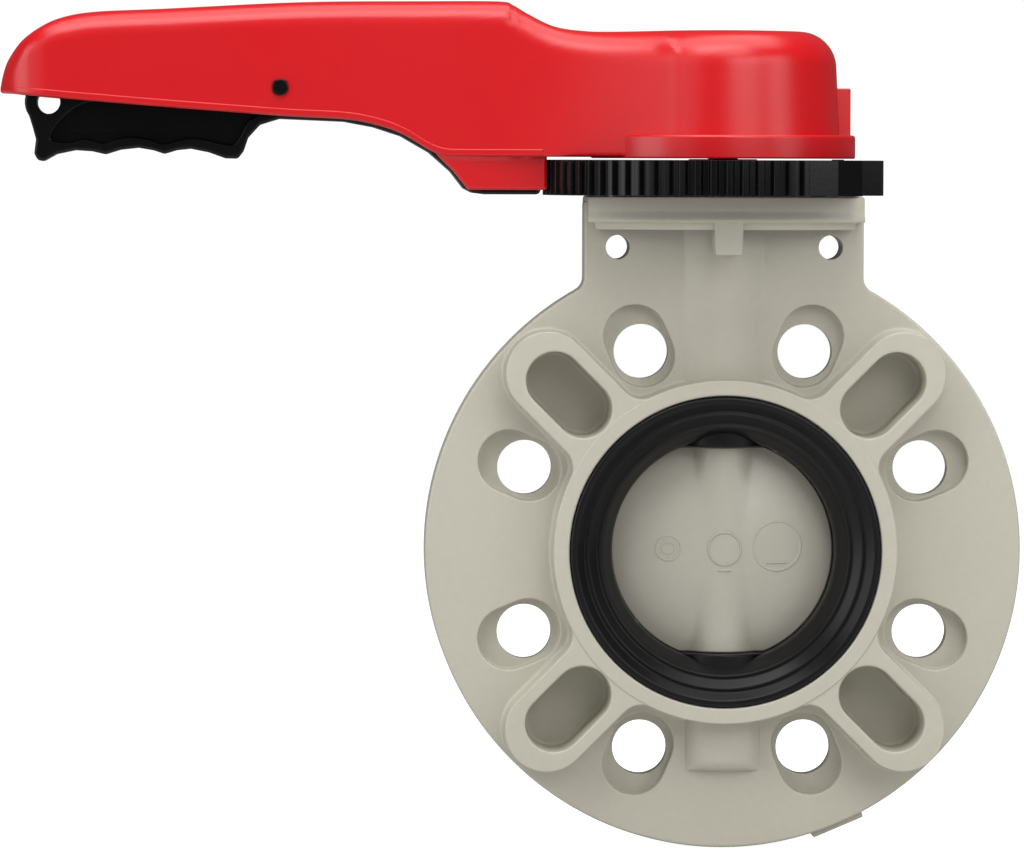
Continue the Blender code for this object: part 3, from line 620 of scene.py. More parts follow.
def makeBody():
    b = body
    skin = Skin()
    plate = -b["platePlane"]
    face = -b["facePlane"]
    e = b["rimEdge"]
    keyhole = keyholeOutline()
    skin.sweep(keyhole, roundedRim(e, plate), asFront)
    holes = []
    floor = -b["recessFloor"]
    for i in range(8):
        angle = 22.5 + 45.0 * i
        oval = slot(*b["recessCentres"], b["recessHalfWidth"], angle)
        inner = skin.sweep(oval, [(0.7, plate), (0.3, plate + 0.1), (0.07, plate + 0.4),
                                  (0.0, plate + 0.9), (-0.2, floor - 0.7), (-0.35, floor - 0.25),
                                  (-0.8, floor)], asFront)
        holes.append(grown(oval, 0.7))
        hole = circle(ray(angle, b["holeCircle"]), b["holeRadius"], 48)
        skin.sweep(hole, [(0.3, floor), (0.08, floor + 0.1), (0.0, floor + 0.4), (0.0, 0.0)],
                   asFront)
        skin.region([inner, grown(hole, 0.3)], asFront, floor)
    for x in (-b["neckHoleX"], b["neckHoleX"]):
        hole = circle((x, b["neckHoleZ"]), b["neckHoleRadius"], 32)
        skin.sweep(hole, [(0.4, plate), (0.1, plate + 0.1), (0.0, plate + 0.4), (0.0, 0.0)],
                   asFront)
        holes.append(grown(hole, 0.4))
    boss = outward(bossOutline())[0]
    reach = np.hypot(*boss.T)
    foot = np.clip((rim - e - 0.15 - reach) / 2.4, 0.12, 0.7)
    raised = [(2.2, plate), (1.2, plate - 0.15), (0.6, plate - 0.6), (0.35, plate - 1.6),
              (0.0, face + 0.9), (-0.1, face + 0.4), (-0.4, face + 0.1), (-0.9, face)]
    skin.sweep(boss, raised, asFront, foot)
    top = grown(boss, -0.9 * foot)
    holes.append(grown(boss, 2.2 * foot))
    skin.region([grown(keyhole, -e)] + holes, asFront, plate)
    openings = []
    floor = -b["pocketFloor"]
    for i in range(4):
        pocket = slot(*b["pocketCentres"], b["pocketHalfWidth"], 45.0 + 90.0 * i, 18)
        inner = skin.sweep(pocket, [(0.8, face), (0.35, face + 0.1), (0.1, face + 0.35),
                                    (0.0, face + 0.8), (-0.45, floor - 1.2),
                                    (-0.65, floor - 0.5), (-1.1, floor - 0.1),
                                    (-1.7, floor)], asFront)
        skin.region([inner], asFront, floor)
        openings.append(grown(pocket, 0.8))
    lip = circle((0.0, 0.0), b["lipRadius"], 128)
    drop = b["lipRadius"] - b["boreRadius"]
    skin.sweep(lip, [(0.6, face), (0.0, face + 0.6), (0.0, -b["lipFloor"]),
                     (-drop + 0.4, -b["lipFloor"]), (-drop, 0.4 - b["lipFloor"]), (-drop, 0.0)],
               asFront)
    openings.append(grown(lip, 0.6))
    skin.region([top] + openings, asFront, face)
    for add in (addRing, addColumn, addLowerBoss, addFlange, addTab, addRimPad):
        add(skin)
    skin.mirrored(1)
    skin.build("bodySkin", finish["beigePlastic"], "valve", ["valve_body"])


def addRing(skin):
    # the sealing ring round the bore, a hair proud of the bosses
    b = body
    face = -b["ringFace"]
    r0, r1 = b["lipRadius"] + 0.1, b["ringRadius"]
    profile = softCorners([(r0, -18.0), (r0, face), (r1, face), (r1, -18.0)],
                          np.array([0.2, 0.7, 0.5, 0.2]), 4)
    skin.turned(profile, 128, "y")


column = {"halfWidth": 14.2, "height": 5.2, "low": 55.0, "high": 114.8,
          "lowerHalfWidth": 13.0, "lowerHeight": 5.6, "lowerStart": -55.0, "lowerEnd": -77.4,
          "endRadius": 5.0}


def heightSkin(skin, x, z, height):
    # front skin over a grid, its height measured from a hair behind the plate's plane, and its
    # border sunk into the plate and closed behind
    y = -(body["platePlane"] - 0.02) - height
    p = np.stack([x, y, z], -1)
    skin.grid(p)
    ring = np.concatenate([p[0, :-1], p[:-1, -1], p[-1, :0:-1], p[:0:-1, 0]])
    sunk = ring * (1.0, 0.0, 1.0) - (0.0, 2.0, 0.0)
    skin.grid(np.stack([ring, sunk]), around=True)
    skin.region([sunk[:, [0, 2]]], asFront, -2.0)


def bulge(t, power):
    # rounded back that leaves the plate tangentially: (1 - t squared) raised to a power over 1
    return np.maximum(1.0 - t * t, 0.0) ** power


def addColumn(skin):
    # the stem's housing between the ring and the flange
    c = column
    half = c["halfWidth"]
    across, up = np.linspace(-half, half, 61), np.linspace(c["low"], c["high"], 30)
    x, z = np.meshgrid(across, up, indexing="ij")
    heightSkin(skin, x, z, c["height"] * bulge(x / half, 1.25))


def addLowerBoss(skin):
    # a flatter rounded back under the ring, its end turned down over a quarter circle
    c = column
    half = c["lowerHalfWidth"]
    across, up = np.linspace(-half, half, 49), np.linspace(c["lowerEnd"], c["lowerStart"], 50)
    x, z = np.meshgrid(across, up, indexing="ij")
    fall = np.clip(1.0 - (z - c["lowerEnd"]) / c["endRadius"], 0.0, 1.0)
    heightSkin(skin, x, z, c["lowerHeight"] * bulge((x / half) ** 2, 1.2)
               * np.sqrt(1.0 - fall ** 2))


flange = {"top": corner("valve_body", 1, "z"), "bottom": 114.5, "middle": 34.0, "side": 20.0,
          "halfWidth": 48.1, "lip": 1.0, "edge": 0.8, "foot": 4.4, "footDrop": 2.75,
          "tabHalfWidth": 5.1, "tabBottom": 103.2, "tabFront": 32.4}


def bowedOutline(halfWidth, middle, side, corners):
    # straight sides at x = +-halfWidth, bowed front and back
    rise = middle - side
    radius = (halfWidth ** 2 + rise ** 2) / (2.0 * rise)
    half = math.degrees(math.asin(halfWidth / radius))
    bow = arc((0.0, middle - radius), radius, 90.0 - half, 2.0 * half, 24)
    radii = np.full(2 * len(bow), 30.0)
    radii[[0, len(bow) - 1, len(bow), -1]] = corners
    return softCorners(np.concatenate([bow, -bow]), radii, 3)


def flangeLoop(inset):
    # the flange's outline without its bead, drawn in by the inset on all sides
    f = flange
    back = f["lip"] + inset
    return outward(bowedOutline(f["halfWidth"] - inset, f["middle"] - back, f["side"] - back,
                                0.8))[0]


def addFlange(skin):
    # band with a bead along its lower edge that fades where the outline turns to the sides; a
    # negative distance in the profile draws the whole outline in
    f = flange
    loop, normal = outward(flangeLoop(0.0))
    facing = normal[:, 1:] ** 2
    low, high, e = f["bottom"], f["top"], f["edge"]
    profile = [(-e, high), (-0.3 * e, high - 0.2), (0.0, high - e), (0.0, low + 4.2),
               (0.12, low + 3.5), (0.35, low + 2.8), (0.68, low + 2.0), (0.95, low + 1.35),
               (1.05, low + 0.8), (0.95, low + 0.3), (0.5, low), (-0.4, low - 0.15),
               (-2.2, low - 0.2), (-2.6, low - 0.35), (-2.8, low - 0.8), (-3.0, low - 2.2),
               (-3.4, low - 2.6), (-f["foot"], low - f["footDrop"])]
    rings = [asTop(loop + normal * d * facing if d > 0.0 else flangeLoop(-d), h)
             for d, h in profile]
    skin.grid(np.array(rings), around=True)
    skin.region([flangeLoop(e)], asTop, high)
    skin.region([flangeLoop(f["foot"])], asTop, low - f["footDrop"])


def addTab(skin):
    # the tapering indicator tab under the flange
    f = flange
    w, low, front = f["tabHalfWidth"], f["tabBottom"], f["tabFront"]
    outline = softCorners([(-w, low + 14.0), (-w + 0.4, low), (w - 0.4, low), (w, low + 14.0)],
                          0.9, 4)
    skin.prism(outline, -front, -14.0, 0.5, asFront)


rimPad = {"angle": -67.1, "chord": 105.7, "halfWidth": 9.5, "inner": 98.0, "front": 6.5}


def addRimPad(skin):
    # flat-bottomed pad on the rim: a rectangle square to the ray at its angle
    r = rimPad
    across = np.array(ray(r["angle"] + 90.0, r["halfWidth"]))
    inner, outer = np.array([ray(r["angle"], r["inner"]), ray(r["angle"], r["chord"])])
    outline = softCorners([inner - across, outer - across, outer + across, inner + across], 0.6, 3)
    skin.prism(outline, -r["front"], 1.0, 0.4, asFront)


makeBody()


seat = {"bore": 39.0, "face": 23.0, "outer": 54.0, "back": 17.7, "barrel": 46.7,
        "hubRadius": 15.4, "hubFlat": 36.1, "hubFoot": 44.0}


def makeSeat():
    # the liner's section turned round the pipe: a bore, two sealing ridges and a flat outer land,
    # with a flat round pad inside at each end of the stem
    s = seat
    half = [(s["bore"], 0.0), (s["bore"], -12.0), (42.2, -17.2), (43.4, -18.9), (44.5, -18.0),
            (47.7, -20.8), (48.9, -20.0), (51.7, -22.7), (s["outer"], -s["face"]),
            (s["outer"], -s["back"]), (s["barrel"], -s["back"]), (s["barrel"], 0.0)]
    radii = np.array([0.1, 6.0, 0.6, 0.6, 0.6, 0.6, 0.6, 1.0, 1.0, 0.3, 0.3, 0.1])
    half = softCorners(half, radii, 5, closed=False)
    profile = np.concatenate([half, (half * (1.0, -1.0))[-2:0:-1]])
    skin = Skin()
    skin.turned(profile, 160, "y")
    for sign in (1.0, -1.0):
        flat = sign * s["hubFlat"]
        foot = sign * s["hubFoot"]
        hub = softCorners([(0.0, flat), (s["hubRadius"], flat), (s["hubRadius"], foot),
                           (0.0, foot)], np.array([0.0, 0.8, 0.2, 0.0]), 4, closed=False)
        skin.turned(hub, 64, "z")
    skin.build("seatSkin", finish["seatRubber"], "valve", ["seat_liner"])


disc = {"radius": 38.95, "flat": 36.0, "hubRadius": 10.0, "blend": 4.0,
        "dome": [(0.0, 10.6), (6.0, 10.35), (12.0, 9.6), (18.0, 8.4), (24.0, 6.9), (30.0, 5.2),
                 (35.0, 3.6), (38.9, 2.1)]}


def discHeight(x, z):
    # distance of the disc's skin from the middle plane: a dome joined softly to the stem's barrel
    r = np.hypot(x, z)
    curve = curveThrough(disc["dome"], 8, closed=False)
    dome = np.interp(r, curve[:, 0], curve[:, 1])
    barrel = np.sqrt(np.maximum(disc["hubRadius"] ** 2 - x ** 2, 0.0)) - 0.2
    k = disc["blend"]
    h = np.maximum(k - np.abs(dome - barrel), 0.0) / k
    return np.maximum(dome, barrel) + h * h * k / 4.0


def makeDisc():
    # the dome over a circle with its top and bottom cut flat, then a rounded edge
    d = disc
    a = np.radians(np.linspace(0.0, 360.0, 192, endpoint=False))
    reach = np.minimum(d["radius"], d["flat"] / np.maximum(np.abs(np.sin(a)), 1e-6))
    t = np.sin(np.linspace(0.0, 0.5 * math.pi, 60)) * 0.985
    radius = t[:, None] * reach
    x, z = radius * np.cos(a), radius * np.sin(a)
    y = -discHeight(x, z)
    edge = y[-1]
    rows = [np.stack([x, y, z], -1)]
    for out, down in ((0.993, 0.25), (0.998, 0.6), (1.0, 1.1)):
        rows.append(np.stack([out * reach * np.cos(a), edge + down, out * reach * np.sin(a)],
                             -1)[None])
    rows.append(np.stack([reach * np.cos(a), 0.0 * a, reach * np.sin(a)], -1)[None])
    skin = Skin()
    skin.grid(np.concatenate(rows), around=True)
    addDiscMarks(skin)
    skin.mirrored(1)
    skin.build("discSkin", finish["discPlastic"], "lever", ["disc"])


def stroke(skin, path, width, height, surface, closed=True):
    # raised line on a surface: a low rounded section carried along the path; an open path runs
    # to a point at both ends
    if closed:
        along = np.roll(path, -1, 0) - np.roll(path, 1, 0)
    else:
        along = np.gradient(path, axis=0)
    side = np.stack([-along[:, 1], along[:, 0]], 1)
    side /= np.linalg.norm(side, axis=1)[:, None]
    section = np.array([(-1.0, -0.4), (-1.0, 0.2), (-0.6, 0.85), (0.0, 1.0), (0.6, 0.85),
                        (1.0, 0.2), (1.0, -0.4)])
    fade = np.ones(len(path))
    if not closed:
        fade[[0, -1]] = 0.0
    flat = path[:, None] + side[:, None] * section[:, :1] * width / 2.0 * fade[:, None, None]
    y = -surface(flat[..., 0], flat[..., 1]) - section[:, 1] * height * fade[:, None]
    skin.grid(asFront(flat, y), around=True, along=closed)


# rings: centre, radius, steps, line width and line height; bars: both ends' x, and z
discMarks = {"dial": (-19.2, 0.6), "ticks": 12, "tickFrom": 2.7, "tickTo": 3.7,
             "rings": [((-19.2, 0.6), 4.3, 48, 0.5, 0.22), ((-19.2, 0.6), 2.1, 32, 0.45, 0.2),
                       ((0.4, 0.6), 5.7, 64, 0.8, 0.42), ((18.9, 1.4), 8.6, 72, 0.7, 0.25)],
             "bars": [(-2.4, 3.2, -7.0), (14.6, 23.2, -4.4)]}


def addDiscMarks(skin):
    # plain moulding marks: a dial of ticks, and two rings with a bar under each
    m = discMarks
    for centre, radius, steps, width, height in m["rings"]:
        stroke(skin, circle(centre, radius, steps), width, height, discHeight)
    for i in range(m["ticks"]):
        tick = np.array([ray(360.0 / m["ticks"] * i, r)
                         for r in np.linspace(m["tickFrom"], m["tickTo"], 4)])
        stroke(skin, tick + m["dial"], 0.45, 0.2, discHeight, closed=False)
    for left, right, z in m["bars"]:
        bar = np.stack([np.linspace(left, right, 8), np.full(8, z)], 1)
        stroke(skin, bar, 0.8, 0.4, discHeight, closed=False)


makeSeat()
makeDisc()


plate = {"low": corner("locking_plate", 0, "z"), "high": 136.05, "crest": 63.0, "root": 60.8,
         "pitch": 5.0, "count": 24, "start": 178.0, "edge": 0.25, "holeRadius": 9.0,
         "boltX": 38.0, "boltY": 14.0, "sinkRadius": 6.8, "sinkFloor": 129.4,
         "shankRadius": 4.3, "toothHalves": (0.9, 1.6),
         "sides": [(36.0, -49.8), (45.2, -42.5), (45.2, -22.0), (46.3, -20.5), (46.3, -4.0),
                   (56.1, -4.0), (56.1, 16.0), (48.6, 16.0), (48.6, 36.0), (-44.0, 36.0),
                   (-56.0, 20.0), (-60.6, 6.0)],
         "stud": [(39.0, 4.0), (43.0, 4.0), (43.0, 10.0), (39.0, 10.0)], "studHigh": 136.35,
         "collar": [(9.4, 136.4), (9.4, 134.0), (12.0, 134.0), (12.0, 136.4)]}


def toothOutline():
    # teeth at even angles round the latch's side, then plain sides with a lug
    p = plate
    middle = p["start"] + p["pitch"] * np.arange(p["count"])
    tip, foot = p["toothHalves"]
    offset = np.array([-foot, -tip, tip, foot])
    radius = np.tile([p["root"], p["crest"], p["crest"], p["root"]], p["count"])
    a = np.radians((middle[:, None] + offset).ravel())
    teeth = np.stack([radius * np.cos(a), radius * np.sin(a)], 1)
    radii = np.concatenate([np.full(len(teeth), 0.4), np.full(len(p["sides"]), 1.0)])
    return softCorners(np.concatenate([teeth, p["sides"]]), radii, 3)


def makePlate():
    p = plate
    skin = Skin()
    outline = toothOutline()
    low, high, e = p["low"], p["high"], p["edge"]
    skin.sweep(outline, [(-e, low), (-0.3 * e, low + 0.3 * e), (0.0, low + e), (0.0, high - e),
                         (-0.3 * e, high - 0.3 * e), (-e, high)], asTop)
    centre = circle((0.0, 0.0), p["holeRadius"], 48)
    skin.sweep(centre, [(0.3, low), (0.0, low + 0.3), (0.0, high - 0.3), (0.3, high)], asTop)
    bottom, top = [grown(centre, 0.3)], [grown(centre, 0.3)]
    for x in (-p["boltX"], p["boltX"]):
        for y in (-p["boltY"], p["boltY"]):
            sink = circle((x, y), p["sinkRadius"], 32)
            shank = circle((x, y), p["shankRadius"], 32)
            skin.sweep(sink, [(0.3, high), (0.0, high - 0.3), (0.0, p["sinkFloor"])], asTop)
            skin.region([sink, shank], asTop, p["sinkFloor"])
            skin.sweep(shank, [(0.0, p["sinkFloor"]), (0.0, low)], asTop)
            top.append(grown(sink, 0.3))
            bottom.append(shank)
    skin.region([grown(outline, -e)] + bottom, asTop, low)
    skin.region([grown(outline, -e)] + top, asTop, high)
    skin.prism(softCorners(p["stud"], 0.6), 134.0, p["studHigh"], 0.3, asTop)
    skin.turned(softCorners(p["collar"], 0.3, 3), 48, "z")
    skin.build("lockingPlateSkin", finish["blackPlastic"], "valve", ["locking_plate"])


makePlate()


lever = {
    "halfWidth": 17.0, "noseCentre": -235.1, "lipCentre": -234.6,
    "spread": 19.5, "spreadPower": 2.5, "spreadFrom": -118.0, "spreadTo": -18.0,
    "noseShoulder": 4.0, "shoulder": 8.5, "hubShoulder": 11.5, "wall": 3.0, "edge": 1.0,
    "hubRadius": 40.7, "hubBottom": 137.0, "crown": 0.0006, "draft": 0.05, "join": 0.4,
    "bossRadius": 14.6, "bossTop": 178.0, "capRadius": 13.6, "capFloor": 165.5,
    "squareHalf": 5.2, "squareTop": 153.4, "boltRadius": 4.4,
    "skirtHalfWidth": 16.5, "channelHalfWidth": 13.2, "channelFrom": -125.0,
    "channelTo": -45.0, "channelTop": 150.0, "pin": (-154.8, 160.8), "pinRadius": 2.3,
    "ring": [(37.4, 136.6), (46.2, 136.6), (46.2, 144.8), (37.4, 144.8)],
    "fin": [(36.0, 140.0), (44.6, 140.0), (44.6, 161.2), (36.0, 161.2)], "finHalf": 1.6,
    "topLine": [(-258.0, 153.0), (-253.6, 162.5), (-251.6, 166.6), (-248.6, 171.3),
                (-243.8, 177.2), (-236.6, 182.2), (-229.0, 185.2), (-218.0, 186.9),
                (-194.5, 188.0), (-147.8, 190.4), (-106.0, 190.9), (-79.0, 190.9),
                (-74.0, 189.6), (-68.5, 186.5), (-60.0, 182.7), (-50.0, 181.5), (-30.0, 181.3),
                (50.0, 181.3)],
    "underLine": [(-256.0, 158.4), (-248.0, 158.4), (-239.4, 157.5), (-199.4, 154.2),
                  (-154.0, 150.9), (-132.7, 149.8), (-121.4, 147.8), (-112.3, 144.6),
                  (-102.5, 138.9), (-97.0, 137.2), (-91.5, 137.0), (-85.0, 137.0),
                  (-70.0, 137.0), (50.0, 137.0)],
    "skirt": [(-100.6, 137.6), (-94.9, 132.0), (-89.7, 125.5), (-62.3, 125.5), (-62.3, 142.0),
              (-95.0, 146.0)],
}


def armSpread(x):
    # half width: plain at the grip, then growing with a power of the distance until it touches
    # the hub's circle; and the slant that turns a width into a distance
    v = lever
    span, power = v["spreadTo"] - v["spreadFrom"], v["spreadPower"]
    t = np.clip((x - v["spreadFrom"]) / span, 0.0, 1.0)
    slope = v["spread"] * power / span * t ** (power - 1.0)
    return v["halfWidth"] + v["spread"] * t ** power, np.hypot(1.0, slope)


def lineHeight(points):
    # a side-view line as a height over x, and the slant that turns height into distance
    curve = curveThrough(points, 6, closed=False)
    x = np.linspace(-256.0, 50.0, 1600)
    order = np.argsort(curve[:, 0])
    z = np.interp(x, curve[order, 0], curve[order, 1])
    return x, z, np.hypot(1.0, np.gradient(z, x))


def polygonDistance(x, z, corners):
    # signed distance to a side-view outline: the nearest side, negative inside
    corners = np.asarray(corners, float)
    nearest = np.full(np.shape(x), np.inf)
    inside = np.zeros(np.shape(x), bool)
    for (x0, z0), (x1, z1) in zip(corners, np.roll(corners, -1, 0)):
        dx, dz = x1 - x0, z1 - z0
        t = np.clip(((x - x0) * dx + (z - z0) * dz) / (dx * dx + dz * dz), 0.0, 1.0)
        nearest = np.minimum(nearest, np.hypot(x - x0 - t * dx, z - z0 - t * dz))
        spans = (z0 > z) != (z1 > z)
        inside ^= spans & (x < x0 + (z - z0) * dx / (dz if dz else 1.0))
    return np.where(inside, -nearest, nearest)


topLine = lineHeight(lever["topLine"])
underLine = lineHeight(lever["underLine"])


def leverShape(x, y, z):
    # the plan outlines of arm and hub joined by a fillet under one top line, hollowed by a wall's
    # thickness and open underneath, with the skirt over the latch, the drive boss and its holes
    v = lever
    r = np.hypot(x, y)
    crown = v["crown"] * np.minimum(r, 50.0) ** 2 * smoothStep(-75.0, -25.0, x)
    (topZ, topSlant), (underZ, underSlant) = [[np.interp(x, line[0], row) for row in line[1:]]
                                              for line in (topLine, underLine)]
    top = (z + crown - topZ) / topSlant
    under = (underZ - z) / underSlant
    lean = v["draft"] * (z - 144.0)
    half, slant = armSpread(x)
    side = ((np.hypot(np.minimum(x - v["noseCentre"], 0.0), y) - half) / slant
            + lean * smoothStep(v["spreadFrom"], v["spreadTo"], x))
    arm = np.maximum(side, x - v["spreadTo"])
    hub = r - v["hubRadius"] + lean
    shoulder = np.interp(x, (-250.0, -228.0, -75.0, -25.0),
                         (v["noseShoulder"], v["shoulder"], v["shoulder"], v["hubShoulder"]))
    outer = roundMax(top, roundMin(arm, hub, v["join"]), shoulder)
    shell = roundMax(outer, -(outer + v["wall"]), 0.9)
    boss = np.maximum(roundMax(r - v["bossRadius"], z - v["bossTop"], 1.0), 136.9 - z)
    shell = roundMax(roundMin(shell, boss, 1.5), under, v["edge"])
    shell = np.maximum(shell, v["hubBottom"] - z)
    outline = polygonDistance(x, z, v["skirt"])
    skirt = roundMax(roundMax(outline, np.abs(y) - v["skirtHalfWidth"], 0.8),
                     v["channelHalfWidth"] - np.abs(y), 0.5)
    shape = roundMin(shell, skirt, 0.6)
    channel = np.maximum(np.maximum(np.abs(y) - v["channelHalfWidth"], x - v["channelTo"]),
                         np.maximum(v["channelFrom"] - x, z - v["channelTop"]))
    shape = roundMax(shape, -channel, 0.5)
    cap = np.maximum(r - v["capRadius"], v["capFloor"] - z)
    square = np.maximum(np.maximum(np.abs(x), np.abs(y)) - v["squareHalf"], z - v["squareTop"])
    shape = roundMax(shape, -np.minimum(np.minimum(cap, square), r - v["boltRadius"]), 0.4)
    pin = np.hypot(x - v["pin"][0], z - v["pin"][1]) - v["pinRadius"]
    return np.maximum(shape, -pin)


def makeLever():
    # the handle from its shape, with a ring round the hub's foot and a fin opposite the arm
    v = lever
    skin = Skin()
    netSkin(skin, leverShape, (-254.0, -43.0, 123.0), (43.0, 43.0, 193.0), (1.45, 1.02, 1.02))
    skin.turned(softCorners(v["ring"], np.array([0.3, 0.6, 1.1, 0.3]), 5), 160, "z")
    skin.prism(softCorners(v["fin"], 0.6, 3), -v["finHalf"], v["finHalf"], 0.4, asFront)
    addLip(skin)
    skin.build("leverSkin", finish["redPlastic"], "lever", ["lever_handle"], 60.0)


def addLip(skin):
    # thin raised lip round the arm's lower edge: its section follows the arm's plan outline,
    # and its height follows the underside line
    v = lever
    x = np.linspace(v["lipCentre"], -64.0, 150)
    half = armSpread(x)[0]
    nose = np.radians(np.linspace(180.0, 90.0, 24))[:-1]
    plan = np.concatenate([
        np.stack([v["lipCentre"] + v["halfWidth"] * np.cos(nose),
                  v["halfWidth"] * np.sin(nose)], 1), np.stack([x, half], 1)])
    plan = np.concatenate([plan[:0:-1], plan * (1.0, -1.0)])
    along = np.gradient(plan, axis=0)
    normal = np.stack([along[:, 1], -along[:, 0]], 1)
    normal /= np.linalg.norm(normal, axis=1)[:, None]
    normal *= np.sign(normal[0, 1] * plan[0, 1])
    low = np.interp(plan[:, 0], underLine[0], underLine[1])
    section = np.array([(-1.2, 0.35), (0.0, 0.35), (0.3, 0.6), (0.38, 0.95), (0.38, 2.2),
                        (0.3, 2.5), (0.0, 2.75), (-1.2, 2.9)])
    flat = plan[:, None] + normal[:, None] * section[:, :1]
    z = low[:, None] + section[:, 1]
    p = np.concatenate([flat, z[..., None]], -1)
    skin.grid(p, around=True)
    for end in (p[0], p[-1]):
        skin.add(end, np.arange(len(section))[None])


makeLever()


trigger = {
    "half": 10.0, "web": 4.0, "edge": 1.0, "lobeRadius": 8.2, "hubRadius": 6.6,
    "lock": (-235.1, 155.5), "lockRadius": 4.1,
    "outline": [(-240.6, 147.0), (-239.4, 142.6), (-240.0, 137.6), (-238.8, 135.4),
                (-236.8, 134.9), (-232.4, 137.4), (-225.8, 138.8), (-219.8, 138.4),
                (-215.3, 137.4), (-210.2, 139.0), (-203.9, 139.7), (-198.6, 138.8),
                (-194.9, 137.6), (-190.6, 138.9), (-185.8, 139.4), (-179.6, 138.2),
                (-173.7, 136.1), (-169.4, 136.0), (-167.4, 138.6), (-165.8, 143.3),
                (-161.7, 147.8), (-155.0, 149.9), (-132.7, 149.0), (-122.4, 147.1),
                (-112.8, 144.0), (-102.9, 138.3), (-95.4, 131.7), (-90.9, 125.9),
                (-88.0, 124.4), (-84.0, 123.9), (-64.2, 123.9), (-64.2, 133.8), (-82.0, 134.6),
                (-92.0, 143.0), (-104.0, 152.4), (-120.0, 159.4), (-146.0, 163.6)],
    "webOutline": [(-233.5, 141.9), (-234.2, 143.9), (-231.6, 148.3), (-225.4, 153.7),
                    (-217.0, 155.9), (-190.0, 156.6), (-163.0, 153.6), (-166.2, 148.4),
                    (-169.1, 143.1), (-171.4, 140.7), (-176.3, 141.3), (-182.0, 142.6),
                    (-187.5, 142.7), (-195.4, 140.9), (-200.0, 142.4), (-206.0, 143.2),
                    (-211.1, 142.6), (-216.1, 141.1), (-222.4, 142.5), (-227.8, 141.4)],
}


def makeTrigger():
    # side outline with a lobe round the lock hole and a hub round the pin, its faces sunk to a web
    v = trigger
    lobe = arc(v["lock"], v["lobeRadius"], 95.0, 120.0, 12)
    hub = arc(lever["pin"], v["hubRadius"], 20.0, 140.0, 10)
    back = np.array([(-164.0, 163.0), (-224.0, 163.4)])
    outline = np.concatenate([lobe, softCorners(v["outline"], 1.6, 3, closed=False), hub, back])
    outline = outward(tidyLoop(outline))[0]
    face, e = -v["half"], v["edge"]
    skin = Skin()
    skin.sweep(outline, roundedRim(e, face), asFront)
    web = curveThrough(v["webOutline"], 5)
    inner = skin.sweep(web, [(0.6, face), (0.2, face + 0.12), (0.0, face + 0.6),
                             (-0.2, -0.6 - v["web"]), (-0.5, -v["web"])], asFront)
    skin.region([inner], asFront, -v["web"])
    holes = [grown(web, 0.6)]
    for centre, radius in ((v["lock"], v["lockRadius"]), (lever["pin"], lever["pinRadius"])):
        hole = circle(centre, radius, 32)
        skin.sweep(hole, [(0.4, face), (0.0, face + 0.4), (0.0, 0.0)], asFront)
        holes.append(grown(hole, 0.4))
    skin.region([grown(outline, -e)] + holes, asFront, face)
    skin.mirrored(1)
    skin.build("triggerSkin", finish["blackPlastic"], "trigger", ["trigger"])


def makePin():
    # headed pin through the arm, turned along y and moved to its place
    profile = softCorners([(0.0, -18.5), (2.6, -18.4), (2.85, -18.0), (2.85, -17.2), (2.0, -17.2),
                           (2.0, 18.6), (0.0, 18.6)], np.array([0, .4, .3, .2, .2, .5, 0]), 4,
                          closed=False)
    skin = Skin()
    skin.turned(profile, 48, "y")
    skin.points = [p + (lever["pin"][0], 0.0, lever["pin"][1]) for p in skin.points]
    skin.build("pinSkin", finish["blackPlastic"], "lever", ["trigger_pin"])


def makeCap():
    # shallow cup over the bolt, open below
    profile = softCorners([(0.0, 181.3), (12.6, 181.1), (13.2, 180.2), (13.2, 176.0),
                           (11.2, 176.0), (11.2, 178.4), (0.0, 178.4)],
                          np.array([0, 1.0, .6, .3, .3, .3, 0]), 4, closed=False)
    skin = Skin()
    skin.turned(profile, 72, "z")
    skin.build("capSkin", finish["blackPlastic"], "lever", ["lever_cap"])


makeTrigger()
makePin()
makeCap()


# nodes shown as they come, under the finish each one wears
nodesOf = {
    "bushPlastic": ["seat_bush_upper", "seat_bush_lower", "stem_bush_upper", "stem_bush_lower"],
    "stainless": ["stem", "stem_retainer", "lever_bolt", "lever_washer", "trigger_spring",
                  "plate_bolt_1", "plate_bolt_2", "plate_bolt_3", "plate_bolt_4"],
    "seatRubber": ["stem_o_ring_top", "stem_o_ring_middle", "stem_o_ring_bottom"],
    "blackPlastic": ["trigger_pin_clip"],
}
for look, nodes in nodesOf.items():
    for node in nodes:
        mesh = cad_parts[node].data
        mesh.materials.clear()
        mesh.materials.append(finish[look])
print("pieces ready")


aim = (-0.05, 0.0, 0.05)
studio = {"floorZ": -104.6, "floorSize": 9.0, "floorColour": (0.62, 0.62, 0.615),
          "floorGlow": 1.55, "fill": 0.11, "backdrop": 1.05}
lamps = {  # place, target, width and height in metres, and power in watts
    "overhead": ((0.0, -0.1, 1.7), aim, (2.0, 1.4), 24.5),
    "topNear": ((-0.1, -0.55, 0.95), aim, (0.9, 0.5), 5.0),
    "leftNear": ((-0.65, -0.75, 0.45), aim, (0.5, 0.7), 1.0),
    "leftSide": ((-1.4, -0.5, 0.3), aim, (0.8, 1.2), 8.0),
    "frontNear": ((0.20, -0.62, 0.36), (0.02, 0.0, 0.12), (0.35, 0.35), 1.25),
    "right": ((1.3, -1.0, 0.6), aim, (0.7, 1.0), 6.0),
}


